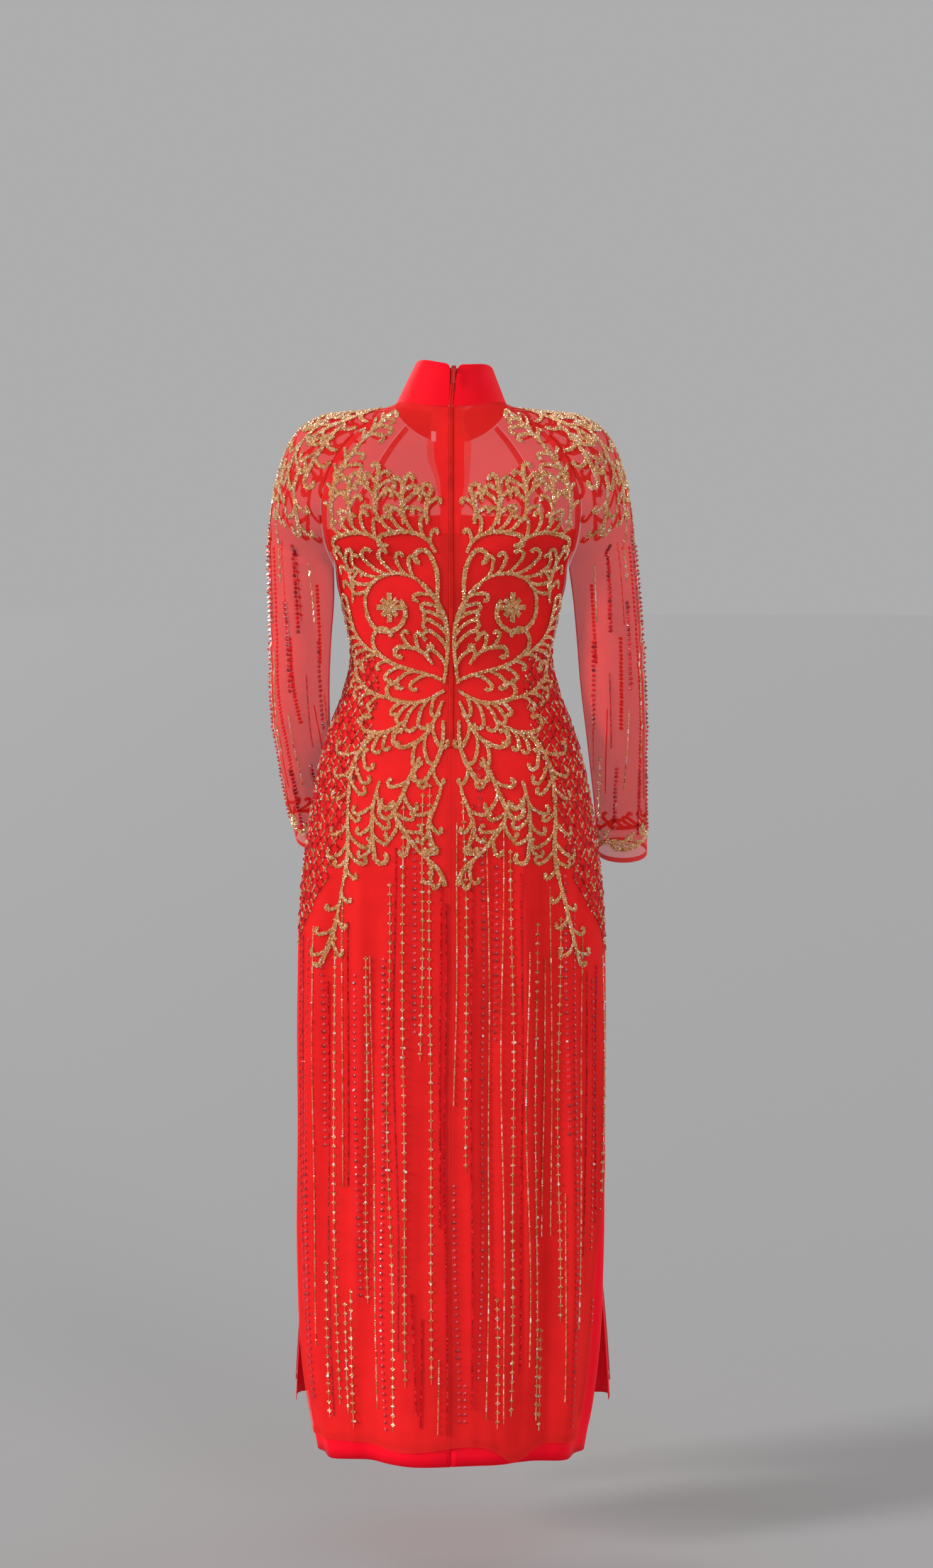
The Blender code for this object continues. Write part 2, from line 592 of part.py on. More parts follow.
def make_sleeve(word, side, table, material):
    sections = with_running_length(table)
    arm_length = sections[-1, 0]
    rows = [*YOKE_SHARES, *[1 + arm_length * (i + 1) / ARM_ROWS for i in range(ARM_ROWS)]]
    outer = np.zeros((len(rows), COLUMNS_AROUND + 1, 3))
    inner = outer.copy()
    for i, along in enumerate(rows):
        around = np.linspace(0, 1, COLUMNS_AROUND + 1)
        if along < 1:
            span = sleeve_base(sections, np.array([0.0, 0.05]), along)
            pull = SEAM_GAP * 0.05 / np.linalg.norm(span[1] - span[0])
            around[0], around[-1] = pull, 1 - pull
        outer[i] = sleeve_shape(sections, side, around, along, 0.0)
        inner[i] = sleeve_shape(sections, side, around, along, MESH_WALL)
    wall_object(f"sleeve_{word}", outer, inner, material, closed_from=len(YOKE_SHARES) - 1)


def collar_points(angle, up, depth):
    """Points of the collar: up is 0 at the neck seam and 1 at the top edge."""
    base, turn = neck_ring(angle), np.radians(angle)
    back = np.where(np.cos(turn) > 0, COLLAR_TOP_BACK, COLLAR_TOP_FRONT)
    middle = (COLLAR_BACK_HEIGHT + COLLAR_FRONT_HEIGHT) / 2
    half_range = (COLLAR_BACK_HEIGHT - COLLAR_FRONT_HEIGHT) / 2
    top_x = COLLAR_TOP_HALF_WIDTH * np.sin(turn)
    level = base[:, 2] + middle + half_range * np.cos(turn) - COLLAR_LEAN * top_x
    top = points(top_x + COLLAR_TOP_SHIFT, -back * np.cos(turn), level)
    place = base + (top - base) * up
    place[:, 2] += SEAM_GAP * (1 - up)
    inward = -points(np.sin(turn) / NECK_HALF_WIDTH, -np.cos(turn) / NECK_BACK, 0.0)
    return place + inward / length(inward) * depth


def collar_angles(up):
    """Angles from the opening's right edge round to its left one, at the columns of the yoke's pieces."""
    opening = CB_OPENING + (COLLAR_TOP_OPENING - CB_OPENING) * up**2
    half_width = NECK_HALF_WIDTH + (COLLAR_TOP_HALF_WIDTH - NECK_HALF_WIDTH) * up
    half = 1 - np.linspace(1, 0, HALF_COLUMNS) ** EDGE_CROWDING
    back = half * BACK_RAGLAN_ANGLE
    back[0] = math.degrees(math.asin(opening / 2 / half_width))
    over = np.linspace(BACK_RAGLAN_ANGLE, FRONT_RAGLAN_ANGLE, COLUMNS_AROUND + 1)
    front = 180 - half * (180 - FRONT_RAGLAN_ANGLE)
    right = np.concatenate([back[:-1], over[:-1], front[::-1]])
    return np.concatenate([right, 360 - right[-2::-1]])


def make_collar(material):
    outer, inner = (
        np.array([collar_points(collar_angles(up), up, depth) for up in (1.0, 0.5, 0.0)])
        for depth in (0.0, COLLAR_WALL)
    )
    wall_object("collar", outer, inner, material)


def collar_centre_back(up):
    """The point of the collar's centre back line at a height above the neck seam, and its outward normal."""
    foot, top = collar_points(np.array([0.0]), 0.0, 0.0)[0], collar_points(np.array([0.0]), 1.0, 0.0)[0]
    line = (top - foot) / np.linalg.norm(top - foot)
    normal = np.cross((1.0, 0.0, 0.0), line)
    return foot + line * up, normal / np.linalg.norm(normal)


def zip_downs():
    """Levels down the zip below the neck seam."""
    return [CHAIN_END_GAP, *yoke_downs()[1:], *[down for down in BODY_DOWNS if down < ZIP_END_DOWN]]


def make_chain(material):
    """The zip's closed coil, just proud of the edges it lies between, from behind the slider to its end."""
    places, normals = [], []
    for up in (SLIDER_UP + SLIDER_HEIGHT / 2, *CHAIN_UPS_ON_COLLAR):
        place, normal = collar_centre_back(up)
        places.append(place)
        normals.append(normal)
    downs = np.array([*zip_downs(), ZIP_END_DOWN - CHAIN_END_GAP])
    centre = np.zeros(len(downs))
    places.extend(back_shape(1, centre, downs, 0.0))
    normals.extend(half_normals(back_base, centre, downs, -1))
    places, normals = np.array(places), np.array(normals)
    half = np.array([CHAIN_WIDTH / 2, 0.0, 0.0])
    outer, inner = (
        np.stack([places - half + normals * out, places + half + normals * out], axis=1)
        for out in (CHAIN_PROUD, CHAIN_PROUD - CHAIN_THICK)
    )
    wall_object("zip_chain", outer, inner, material)


def strip_on_back(name, side, near, far, downs, depth, wall, material):
    """A flat strip inside the back, from near to far metres off the centre line."""

    def layer(at_depth):
        rows = []
        for down in downs:
            metre = share_of_metre(back_shape, side, down, 0.05)
            columns = np.array([near, (near + far) / 2, far]) * metre
            rows.append(back_shape(side, columns, down, at_depth))
        return np.array(rows)

    wall_object(name, layer(depth), layer(depth + wall), material)


def make_tapes(material):
    downs = [*zip_downs(), ZIP_END_DOWN, TAPE_END_DOWN]
    for side, word in ((-1, "left"), (1, "right")):
        strip_on_back(
            f"zip_tape_{word}", side, TAPE_INNER_EDGE, TAPE_WIDTH, downs, TAPE_DEPTH, TAPE_WALL, material
        )


def make_label(material):
    downs = [LABEL_TOP_DOWN, LABEL_TOP_DOWN + LABEL_HEIGHT]
    near = TAPE_WIDTH - LABEL_TUCK
    strip_on_back("label", -1, near, TAPE_WIDTH + LABEL_WIDTH, downs, LABEL_DEPTH, LABEL_WALL, material)


def box(mesh, low, high):
    size = [b - a for a, b in zip(low, high)]
    middle = [(a + b) / 2 for a, b in zip(low, high)]
    place = Matrix.Translation(middle) @ Matrix.Diagonal((*size, 1))
    bmesh.ops.create_cube(mesh, size=1, matrix=place)


def rod_along_x(rod_length, radius, centre):
    mesh = bmesh.new()
    place = Matrix.Translation(centre) @ Matrix.Rotation(math.pi / 2, 4, "Y")
    bmesh.ops.create_cone(
        mesh, cap_ends=True, segments=16, radius1=radius, radius2=radius, depth=rod_length, matrix=place
    )
    return mesh


def zip_frame():
    """Where the slider sits: its place near the collar's top, and axes across, up the zip and outward."""
    place, normal = collar_centre_back(SLIDER_UP)
    out = Vector(normal)
    across = Vector((1, 0, 0))
    frame = Matrix((across, out.cross(across), out)).transposed().to_4x4()
    frame.translation = Vector(place) + out * (CHAIN_PROUD + SLIDER_CLEAR)
    return frame


def combine(obj, other, operation):
    """A boolean between two objects that share a frame; the other one stays as a hidden guide."""
    other.matrix_world = obj.matrix_world
    other.hide_render = True
    other.display_type = "WIRE"
    modifier = obj.modifiers.new(other.name, "BOOLEAN")
    modifier.operation = operation
    modifier.object = other


def make_slider(material, frame):
    """The slider's body with its bail: two posts and the bar that the pull turns on. Local +Z is outward."""
    mesh = bmesh.new()
    box(mesh, (-SLIDER_WIDTH / 2, -SLIDER_HEIGHT / 2, 0), (SLIDER_WIDTH / 2, SLIDER_HEIGHT / 2, SLIDER_THICK))
    bmesh.ops.bevel(mesh, geom=mesh.edges[:], offset=SLIDER_BEVEL, segments=1, affect="EDGES")
    slider = finish_object("zip_slider", mesh, material)
    slider.matrix_world = frame
    hinge = Vector((0, SLIDER_HEIGHT / 2 - BAIL_AXIS_INSET, SLIDER_THICK + BAIL_AXIS_OUT))
    for side, word in ((-1, "left"), (1, "right")):
        post = bmesh.new()
        near, far = sorted((side * BAIL_GAP / 2, side * (BAIL_GAP / 2 + POST_WIDTH)))
        low = (near, hinge.y - POST_HALF_HEIGHT, SLIDER_THICK - POST_ROOT)
        box(post, low, (far, hinge.y + POST_HALF_HEIGHT, hinge.z + BAR_RADIUS))
        combine(slider, finish_object(f"bail_post_{word}", post, material), "UNION")
    bar = rod_along_x(BAIL_GAP + POST_WIDTH, BAR_RADIUS, hinge)
    combine(slider, finish_object("bail_bar", bar, material), "UNION")
    return hinge


def pull_outline():
    """The plate's outline: a long drop that widens from its neck to a round tip, the hinge at the origin."""
    tip_radius = PULL_WIDTH / 2
    tip_centre = -PULL_LENGTH + tip_radius
    outline = [(PULL_NECK / 2, -KNUCKLE_RADIUS / 2), (-PULL_NECK / 2, -KNUCKLE_RADIUS / 2)]
    for i in range(9):
        angle = math.pi + math.pi * i / 8
        outline.append((tip_radius * math.cos(angle), tip_centre + tip_radius * math.sin(angle)))
    return outline


def make_pull(material, frame, hinge):
    """The pull tab, a plate with a knuckle round the bail's bar. Its origin is on the bar."""
    mesh = bmesh.new()
    verts = [mesh.verts.new((x, y, -PULL_THICK / 2)) for x, y in pull_outline()]
    raised = bmesh.ops.extrude_face_region(mesh, geom=[mesh.faces.new(verts)])
    top = [item for item in raised["geom"] if isinstance(item, bmesh.types.BMVert)]
    bmesh.ops.translate(mesh, verts=top, vec=(0, 0, PULL_THICK))
    pull = finish_object("zip_pull", mesh, material)
    pull.matrix_world = frame @ Matrix.Translation(hinge)
    knuckle = rod_along_x(KNUCKLE_LENGTH, KNUCKLE_RADIUS, (0, 0, 0))
    combine(pull, finish_object("pull_knuckle", knuckle, material), "UNION")
    hole = rod_along_x(KNUCKLE_LENGTH * 2, KNUCKLE_HOLE, (0, 0, 0))
    combine(pull, finish_object("pull_hole", hole, material), "DIFFERENCE")


def main():
    clear_scene()
    materials = {name: make_material(name) for name in MATERIALS}
    make_collar(materials["collar"])
    make_back(materials)
    make_front(materials)
    make_sleeve("left", -1, LEFT_SLEEVE, materials["mesh"])
    make_sleeve("right", 1, RIGHT_SLEEVE, materials["mesh"])
    make_chain(materials["zip_tape"])
    make_tapes(materials["zip_tape"])
    make_label(materials["label"])
    frame = zip_frame()
    hinge = make_slider(materials["zip_metal"], frame)
    make_pull(materials["zip_metal"], frame, hinge)


main()
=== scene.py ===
"""A worn ao dai tunic, seen from behind: sheer net over a satin lining, with scrolls and strings of beads.

The cloth is made as smooth surfaces from short section tables, the same ones that the model's solids follow,
with finer folds laid on them. Everything else is placed on those surfaces by its flat position: u metres
across the cloth and v up it.
"""

import math

import bpy
import numpy as np
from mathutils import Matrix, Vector


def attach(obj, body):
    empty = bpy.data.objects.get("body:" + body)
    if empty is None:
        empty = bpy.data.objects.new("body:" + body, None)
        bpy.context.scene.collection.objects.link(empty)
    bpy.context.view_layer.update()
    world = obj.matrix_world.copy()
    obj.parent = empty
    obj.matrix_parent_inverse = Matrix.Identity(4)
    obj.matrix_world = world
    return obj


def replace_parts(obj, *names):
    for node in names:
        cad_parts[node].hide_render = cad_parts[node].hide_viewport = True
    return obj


# Driving sizes
UNDERARM_DOWN = 0.205
SLIT_TOP_DOWN = 0.365
BACK_HEM_DOWN = 1.355
FRONT_HEM_DOWN = 1.338
HEM_CORNER_DROP, HEM_CORNER_FROM = 0.014, 0.9
MESH_HEM_LIFT = 0.022
NET_HEM_DOWN = BACK_HEM_DOWN - MESH_HEM_LIFT
ZIP_END_DOWN = 0.433
TAPE_END_DOWN = 0.441
SEAM_GAP, CAP_GAP_FROM = 0.0004, 0.6
CB_OPENING = 0.0056
FLOOR_LEVEL = -1.50
SIDES = ((-1, "left"), (1, "right"))
BACKWARD, FORWARD = (0, -1, 0), (0, 1, 0)

# Neck seam and collar. Angles go round the neck from the centre back, in degrees.
NECK_HALF_WIDTH = 0.0715
NECK_BACK = 0.060
NECK_FRONT = 0.066
NECK_SIDE_RISE = 0.002
NECK_FRONT_DROP = 0.042
BACK_RAGLAN_ANGLE = 70.0
FRONT_RAGLAN_ANGLE = 125.0
NECK_BLEND_SHARE = 0.35
COLLAR_TOP_HALF_WIDTH = 0.0505
COLLAR_TOP_BACK = 0.0465
COLLAR_TOP_FRONT = 0.058
COLLAR_TOP_SHIFT = 0.004
COLLAR_BACK_HEIGHT = 0.053
COLLAR_FRONT_HEIGHT = 0.040
COLLAR_LEAN = 0.07
COLLAR_WALL = 0.002
COLLAR_TOP_OPENING = 0.0085

# The raglan seams and the shoulder line between them, on the wearer's right, from the neck to the underarm.
# share: 0 at the neck, 1 at the underarm. Turns are the way a section crosses the seam, in degrees from +X,
# on the body's side and on the sleeve's side; rises are how much it climbs there.
# Columns: share, x, y, z, body_turn, body_rise, sleeve_turn, sleeve_rise.
BACK_RAGLAN = (
    (0.0, 0.0672, -0.0205, 0.0065, 66.0, 0.00, 66.0, 0.00),
    (0.2, 0.1060, -0.0500, -0.0200, 42.0, 0.28, 42.0, 0.28),
    (0.4, 0.1400, -0.0750, -0.0550, 30.0, 0.34, 30.0, 0.34),
    (0.6, 0.1590, -0.0870, -0.0950, 21.0, 0.24, 19.0, 0.24),
    (0.8, 0.1650, -0.0800, -0.1440, 36.0, 0.15, 2.0, 0.12),
    (0.9, 0.1605, -0.0520, -0.1780, 62.0, 0.08, -22.0, 0.10),
    (1.0, 0.1510, 0.0000, -0.2050, 90.0, 0.00, -90.0, 0.00),
)
FRONT_RAGLAN = (
    (0.0, 0.0586, 0.0379, -0.0176, 52.0, 0.60, 52.0, 0.60),
    (0.2, 0.0830, 0.0620, -0.0460, 33.0, 0.34, 33.0, 0.34),
    (0.4, 0.1080, 0.0810, -0.0840, 26.0, 0.40, 26.0, 0.40),
    (0.6, 0.1300, 0.0880, -0.1190, 26.0, 0.36, 20.0, 0.40),
    (0.8, 0.1490, 0.0720, -0.1590, 44.0, 0.18, 2.0, 0.22),
    (0.9, 0.1535, 0.0430, -0.1850, 66.0, 0.08, -24.0, 0.12),
    (1.0, 0.1510, 0.0000, -0.2050, 90.0, 0.00, -90.0, 0.00),
)

# Columns: share, x, y, z, roundness.
SHOULDER = (
    (0.0, 0.0715, 0.0020, 0.0020, 0.36),
    (0.2, 0.1250, 0.0040, -0.0040, 0.38),
    (0.4, 0.1700, 0.0050, -0.0115, 0.40),
    (0.6, 0.2020, 0.0040, -0.0350, 0.42),
    (0.8, 0.2235, 0.0020, -0.0850, 0.46),
    (0.9, 0.2315, 0.0000, -0.1240, 0.56),
    (1.0, 0.2370, 0.0000, -0.1750, 0.76),
)

# Profiles down the centre back and centre front of the yoke
# Columns: share, back_y, front_y.
YOKE = (
    (0.0, -0.0600, 0.0660),
    (0.2, -0.0780, 0.0820),
    (0.4, -0.0930, 0.0970),
    (0.6, -0.1030, 0.1100),
    (0.8, -0.1080, 0.1200),
    (1.0, -0.1080, 0.1270),
)

# Sections below the underarm: the centre line's depth and the place of the panel's edge, on back and front.
# The edges are the side seam down to the slit's top, and hang free below it.
# Columns: down, back_y, back_edge_x, back_edge_y, front_y, front_edge_x, front_edge_y.
BODY = (
    (0.205, -0.1080, 0.1510, 0.000, 0.1270, 0.1510, 0.000),
    (0.225, -0.1060, 0.1495, 0.000, 0.1290, 0.1495, 0.000),
    (0.270, -0.0960, 0.1385, 0.000, 0.1140, 0.1385, 0.000),
    (0.330, -0.0800, 0.1315, 0.000, 0.0970, 0.1315, 0.000),
    (0.365, -0.0810, 0.1400, 0.000, 0.0960, 0.1400, 0.000),
    (0.420, -0.0960, 0.1610, -0.008, 0.1000, 0.1470, 0.014),
    (0.490, -0.1180, 0.1790, -0.015, 0.1050, 0.1450, 0.034),
    (0.545, -0.1265, 0.1880, -0.018, 0.1070, 0.1400, 0.048),
    (0.620, -0.1260, 0.1980, -0.020, 0.1090, 0.1420, 0.052),
    (0.770, -0.1250, 0.2040, -0.020, 0.1120, 0.1650, 0.044),
    (0.935, -0.1290, 0.2030, -0.020, 0.1150, 0.1840, 0.036),
    (1.100, -0.1350, 0.2020, -0.018, 0.1190, 0.1960, 0.036),
    (1.240, -0.1410, 0.1940, -0.014, 0.1250, 0.2080, 0.056),
    (1.370, -0.1460, 0.1730, -0.008, 0.1310, 0.2170, 0.092),
)

# Sleeve sections below the underarm: the middle, the half sizes across and fore-and-aft, and how far the
# section's outer and front sides are lifted.
# Columns: x, y, z, half_width, half_depth, outer_lift, front_lift.
RIGHT_SLEEVE = (
    (0.1944, 0.000, -0.1900, 0.0426, 0.0550, 0.0150, 0.000),
    (0.2000, -0.003, -0.2400, 0.0425, 0.0530, 0.0070, 0.000),
    (0.2050, -0.006, -0.3000, 0.0425, 0.0500, 0.0020, 0.000),
    (0.2095, -0.002, -0.3600, 0.0420, 0.0470, 0.0000, 0.006),
    (0.2150, 0.015, -0.4200, 0.0395, 0.0430, 0.0000, 0.014),
    (0.2190, 0.033, -0.4700, 0.0370, 0.0390, 0.0000, 0.014),
    (0.2235, 0.052, -0.5200, 0.0352, 0.0350, 0.0000, 0.013),
    (0.2265, 0.067, -0.5600, 0.0346, 0.0330, 0.0000, 0.012),
    (0.2280, 0.077, -0.5860, 0.0342, 0.0320, 0.0000, 0.012),
)
LEFT_SLEEVE = (
    (0.1944, 0.000, -0.1900, 0.0426, 0.0550, 0.0150, 0.000),
    (0.1935, -0.003, -0.2400, 0.0420, 0.0525, 0.0070, 0.000),
    (0.1950, -0.004, -0.3000, 0.0395, 0.0485, 0.0020, 0.000),
    (0.1965, 0.000, -0.3550, 0.0385, 0.0450, 0.0000, 0.008),
    (0.1960, 0.020, -0.4050, 0.0372, 0.0415, 0.0000, 0.018),
    (0.1930, 0.045, -0.4500, 0.0350, 0.0375, 0.0000, 0.020),
    (0.1890, 0.071, -0.4950, 0.0340, 0.0345, 0.0000, 0.019),
    (0.1840, 0.095, -0.5350, 0.0332, 0.0325, 0.0000, 0.018),
    (0.1790, 0.117, -0.5700, 0.0326, 0.0310, 0.0000, 0.017),
)

# Soft swellings that the cut gives the yoke and bodice
# Columns: x, down, reach_across, reach_down, height.
BUST_CUP = (0.076, 0.205, 0.050, 0.055, 0.017)
SHOULDER_BLADE = (0.085, 0.130, 0.050, 0.070, 0.006)

# Folds of the skirt panels: place across the panel (-1 left edge, 0 centre, 1 right edge), half width as a
# share of the half panel, where it starts, and how far it stands out at the hem. Below zero it is a trough.
# Columns: place, half_width, start_down, height.
BACK_FOLDS = (
    (-0.90, 0.13, 0.60, 0.0065),
    (-0.66, 0.15, 0.46, 0.0110),
    (-0.42, 0.14, 0.56, -0.0080),
    (-0.16, 0.15, 0.72, 0.0055),
    (0.10, 0.14, 0.80, -0.0045),
    (0.36, 0.15, 0.62, -0.0070),
    (0.60, 0.15, 0.44, 0.0120),
    (0.86, 0.14, 0.66, 0.0060),
)
FRONT_FOLDS = (
    (-0.84, 0.15, 0.62, 0.0080),
    (-0.52, 0.15, 0.50, -0.0080),
    (-0.24, 0.15, 0.56, 0.0090),
    (0.06, 0.15, 0.74, -0.0055),
    (0.34, 0.15, 0.54, 0.0095),
    (0.62, 0.15, 0.50, -0.0070),
    (0.88, 0.14, 0.64, 0.0080),
)

# How far the net stops short of the lining's edge below the slit, on the left and right of a panel
# Columns: down, left, right.
MESH_TRIM = (
    (0.365, 0.0004, 0.0004),
    (0.450, 0.0080, 0.0060),
    (0.620, 0.0200, 0.0140),
    (0.900, 0.0280, 0.0300),
    (1.100, 0.0260, 0.0540),
    (1.355, 0.0200, 0.0640),
)
LINING_ARMHOLE_TRIM = 0.0035

# How straight a section leaves the centre line, and how straight it meets the panel's edge
BACK_FLATNESS, FRONT_FLATNESS, EDGE_HANDLE = 0.44, 0.42, 0.35

# The lining's top edge at the centre, and how much lower it is at the armhole
BACK_LINING_TOP, BACK_LINING_SLOPE = 0.162, 0.0103
FRONT_LINING_TOP, FRONT_LINING_SLOPE = 0.56 * UNDERARM_DOWN, 0.10 * UNDERARM_DOWN

# The small step that normals are measured over
STEP = 1e-4

# The cloth layers of the dressed model, as depths in from the garment's outer surface
NET_DEPTH = 0.0005
STRIP_DEPTH = 0.0013
TAPE_DEPTH = 0.0018
LINING_DEPTH = 0.0029
LINING_THICKNESS = 0.0006

# Grids of the fine surfaces, and of the cloth that is cut from them
CLOSE_STEP, CLOSE_TO, SKIRT_ROWS = 0.0055, 0.60, 92
PANEL_COLUMNS = 161
CAP_ROWS = 60
ARM_ROWS = 110
SLEEVE_COLUMNS = 81
NET_HALF_COLUMNS, BACK_NET_ROWS, FRONT_NET_ROWS = 46, 190, 170
LINING_HALF_COLUMNS, BACK_LINING_ROWS, FRONT_LINING_ROWS = 34, 120, 110
SLEEVE_CUT_COLUMNS, CAP_CUT_ROWS, ARM_CUT_ROWS = 65, 60, 105

# Search for a flat position: its steps, the most it moves in each, and how near it has to come
FIND_STEPS, MOST_ROWS, MOST_COLUMNS, FOUND_WITHIN = 9, 20, 12, 0.0012

# Creases laid on the surfaces, in metres: start and end as u and v, how far the line bows to its left, the
# crease's half width, and how far it stands out. Below zero it is a trough.
# Columns: start_u, start_v, end_u, end_v, bow, half_width, height.
BACK_CREASES = (
    (0.150, -0.200, 0.085, -0.232, 0.004, 0.006, 0.0016),
    (0.152, -0.214, 0.100, -0.262, -0.003, 0.007, -0.0016),
    (-0.150, -0.198, -0.078, -0.224, -0.004, 0.006, 0.0018),
    (-0.152, -0.216, -0.104, -0.270, 0.003, 0.007, -0.0014),
    (-0.128, -0.318, -0.030, -0.330, 0.005, 0.007, -0.0014),
    (-0.120, -0.334, -0.046, -0.342, -0.003, 0.006, 0.0014),
    (0.126, -0.326, 0.040, -0.340, -0.005, 0.007, -0.0013),
    (0.116, -0.342, 0.056, -0.350, 0.003, 0.006, 0.0012),
    (-0.140, -0.470, -0.172, -1.335, 0.010, 0.013, -0.0070),
    (-0.118, -0.560, -0.140, -1.345, -0.008, 0.012, 0.0066),
    (-0.176, -0.600, -0.204, -1.320, 0.006, 0.013, 0.0060),
    (-0.092, -0.640, -0.104, -1.345, 0.006, 0.011, -0.0046),
    (-0.062, -0.540, -0.070, -1.345, -0.005, 0.012, 0.0040),
    (-0.028, -0.820, -0.036, -1.345, 0.004, 0.012, -0.0032),
    (0.022, -0.700, 0.026, -1.350, -0.005, 0.013, 0.0036),
    (0.052, -0.620, 0.062, -1.350, 0.006, 0.011, -0.0042),
    (0.088, -0.500, 0.100, -1.350, -0.009, 0.013, 0.0086),
    (0.112, -0.540, 0.128, -1.345, 0.007, 0.011, -0.0074),
    (0.142, -0.480, 0.158, -1.330, -0.008, 0.012, 0.0056),
    (0.172, -0.560, 0.190, -1.330, 0.006, 0.012, -0.0046),
    (0.204, -0.640, 0.224, -1.320, -0.005, 0.013, 0.0050),
)
FRONT_CREASES = (
    (0.160, -0.202, 0.105, -0.232, 0.004, 0.006, 0.0016),
    (0.158, -0.222, 0.112, -0.272, -0.003, 0.007, -0.0015),
    (-0.160, -0.204, -0.098, -0.236, -0.004, 0.006, 0.0015),
    (-0.156, -0.220, -0.116, -0.266, 0.003, 0.007, -0.0014),
    (-0.110, -0.330, -0.028, -0.340, 0.004, 0.007, -0.0012),
    (0.104, -0.322, 0.034, -0.336, -0.004, 0.007, 0.0012),
    (-0.150, -0.560, -0.196, -1.310, 0.008, 0.013, 0.0066),
    (-0.112, -0.620, -0.140, -1.320, -0.006, 0.012, -0.0058),
    (-0.070, -0.520, -0.082, -1.325, -0.005, 0.012, 0.0056),
    (-0.030, -0.680, -0.038, -1.328, 0.004, 0.012, -0.0040),
    (0.020, -0.560, 0.026, -1.328, -0.004, 0.013, 0.0050),
    (0.062, -0.660, 0.072, -1.325, 0.006, 0.011, -0.0052),
    (0.098, -0.540, 0.118, -1.318, -0.006, 0.013, 0.0072),
    (0.138, -0.580, 0.172, -1.310, 0.008, 0.012, -0.0056),
    (0.176, -0.700, 0.212, -1.300, -0.005, 0.012, 0.0050),
)
SLEEVE_CREASES = (
    (-0.062, -0.186, -0.014, -0.214, 0.004, 0.006, 0.0022),
    (-0.066, -0.204, -0.020, -0.246, 0.004, 0.006, -0.0022),
    (-0.070, -0.226, -0.034, -0.288, 0.003, 0.006, 0.0018),
    (0.060, -0.192, 0.022, -0.226, -0.004, 0.006, 0.0018),
    (0.064, -0.214, 0.026, -0.262, -0.004, 0.006, -0.0018),
    (-0.040, -0.400, 0.030, -0.412, 0.006, 0.006, -0.0020),
    (-0.046, -0.418, 0.022, -0.432, -0.005, 0.006, 0.0022),
    (-0.034, -0.440, 0.036, -0.446, 0.006, 0.006, -0.0020),
    (0.030, -0.384, 0.066, -0.420, 0.003, 0.005, 0.0018),
    (-0.052, -0.500, 0.004, -0.530, 0.004, 0.006, 0.0014),
    (-0.030, -0.560, 0.032, -0.574, -0.004, 0.005, -0.0014),
    (-0.044, -0.590, 0.014, -0.604, 0.003, 0.005, 0.0014),
)

# How far the back net's hem drops below its own line. Columns: u, half_width, drop.
BACK_NET_HEM = (
    (-0.165, 0.040, -0.0040),
    (-0.060, 0.045, 0.0035),
    (0.020, 0.040, -0.0035),
    (0.086, 0.026, 0.0210),
    (0.150, 0.040, -0.0030),
)

# Allowances of the back seam, dark through the net: how far their outer edges are from the centre line
# Columns: down, left, right.
ALLOWANCES = (
    (0.002, 0.0160, 0.0090),
    (0.030, 0.0170, 0.0088),
    (0.042, 0.0200, 0.0150),
    (0.070, 0.0205, 0.0165),
    (0.095, 0.0140, 0.0170),
    (0.118, 0.0125, 0.0150),
    (0.150, 0.0125, 0.0100),
)
FACING_WIDTH = 0.0085
FACING_LAP, FACING_FADE = 0.0005, (0.05, 0.16)
NECK_ALLOWANCE = 0.0095
TAPE_INNER, TAPE_OUTER = 0.0003, 0.0125
TAPE_TOP_ANGLE, TAPE_TOP_UP = 8.0, 0.90

# The centre back seam below the zip. Columns: name, start, end, half_width, depth, material.
CENTRE_SEAMS = (
    ("centre_seam_net", ZIP_END_DOWN, NET_HEM_DOWN - 0.003, 0.0045, STRIP_DEPTH, "net_doubled"),
    ("centre_seam_lining", ZIP_END_DOWN, BACK_HEM_DOWN - 0.001, 0.0090, 0.0039, "satin"),
    ("zip_facing", 0.170, ZIP_END_DOWN + 0.006, 0.0110, 0.0045, "satin"),
)

# Rows of cut pieces: how they close up towards the top, and where a wavy hem begins to move them
EVEN_ROWS, CLOSER_ROWS, HEM_WAVE_FROM = 0.62, 0.38, 0.72

# Folds and creases: how sharp their ridges are, and a crease's height at its ends and what its middle adds
RIDGE_SHARPNESS, CREASE_END, CREASE_MIDDLE = 2.2, 0.35, 0.65
SWELL_EDGE = 0.3
LINING_ARMHOLE_FADE = (0.20, 0.24)

# Doubled net: the bands at hem and cuff, and the strips along seams and free edges
HEM_BAND = 0.009
CUFF_BAND = 0.007
EDGE_BAND = 0.006
SEAM_STRIP = 0.009

# Strips along a panel's edges, as seams or as free edges below the slit's top.
# Columns: name, from_down, to_down, rows, columns, free.
PANEL_STRIPS = (
    ("raglan_seam", 0.004, 0.190, 46, 4, False),
    ("side_seam", 0.210, SLIT_TOP_DOWN, 30, 4, False),
    ("net_edge", SLIT_TOP_DOWN, NET_HEM_DOWN - 0.03, 90, 3, True),
)
SLEEVE_STRIP_ROWS, ALLOWANCE_ROWS, TAPE_ROWS, CENTRE_SEAM_ROWS = 70, 60, 110, 120

# Collar
COLLAR_CORNER_ANGLE = 9.0
COLLAR_CORNER_DROP = 0.13
COLLAR_ANGLES, COLLAR_ROWS = 141, 13
COLLAR_SHARP_EDGE = 50

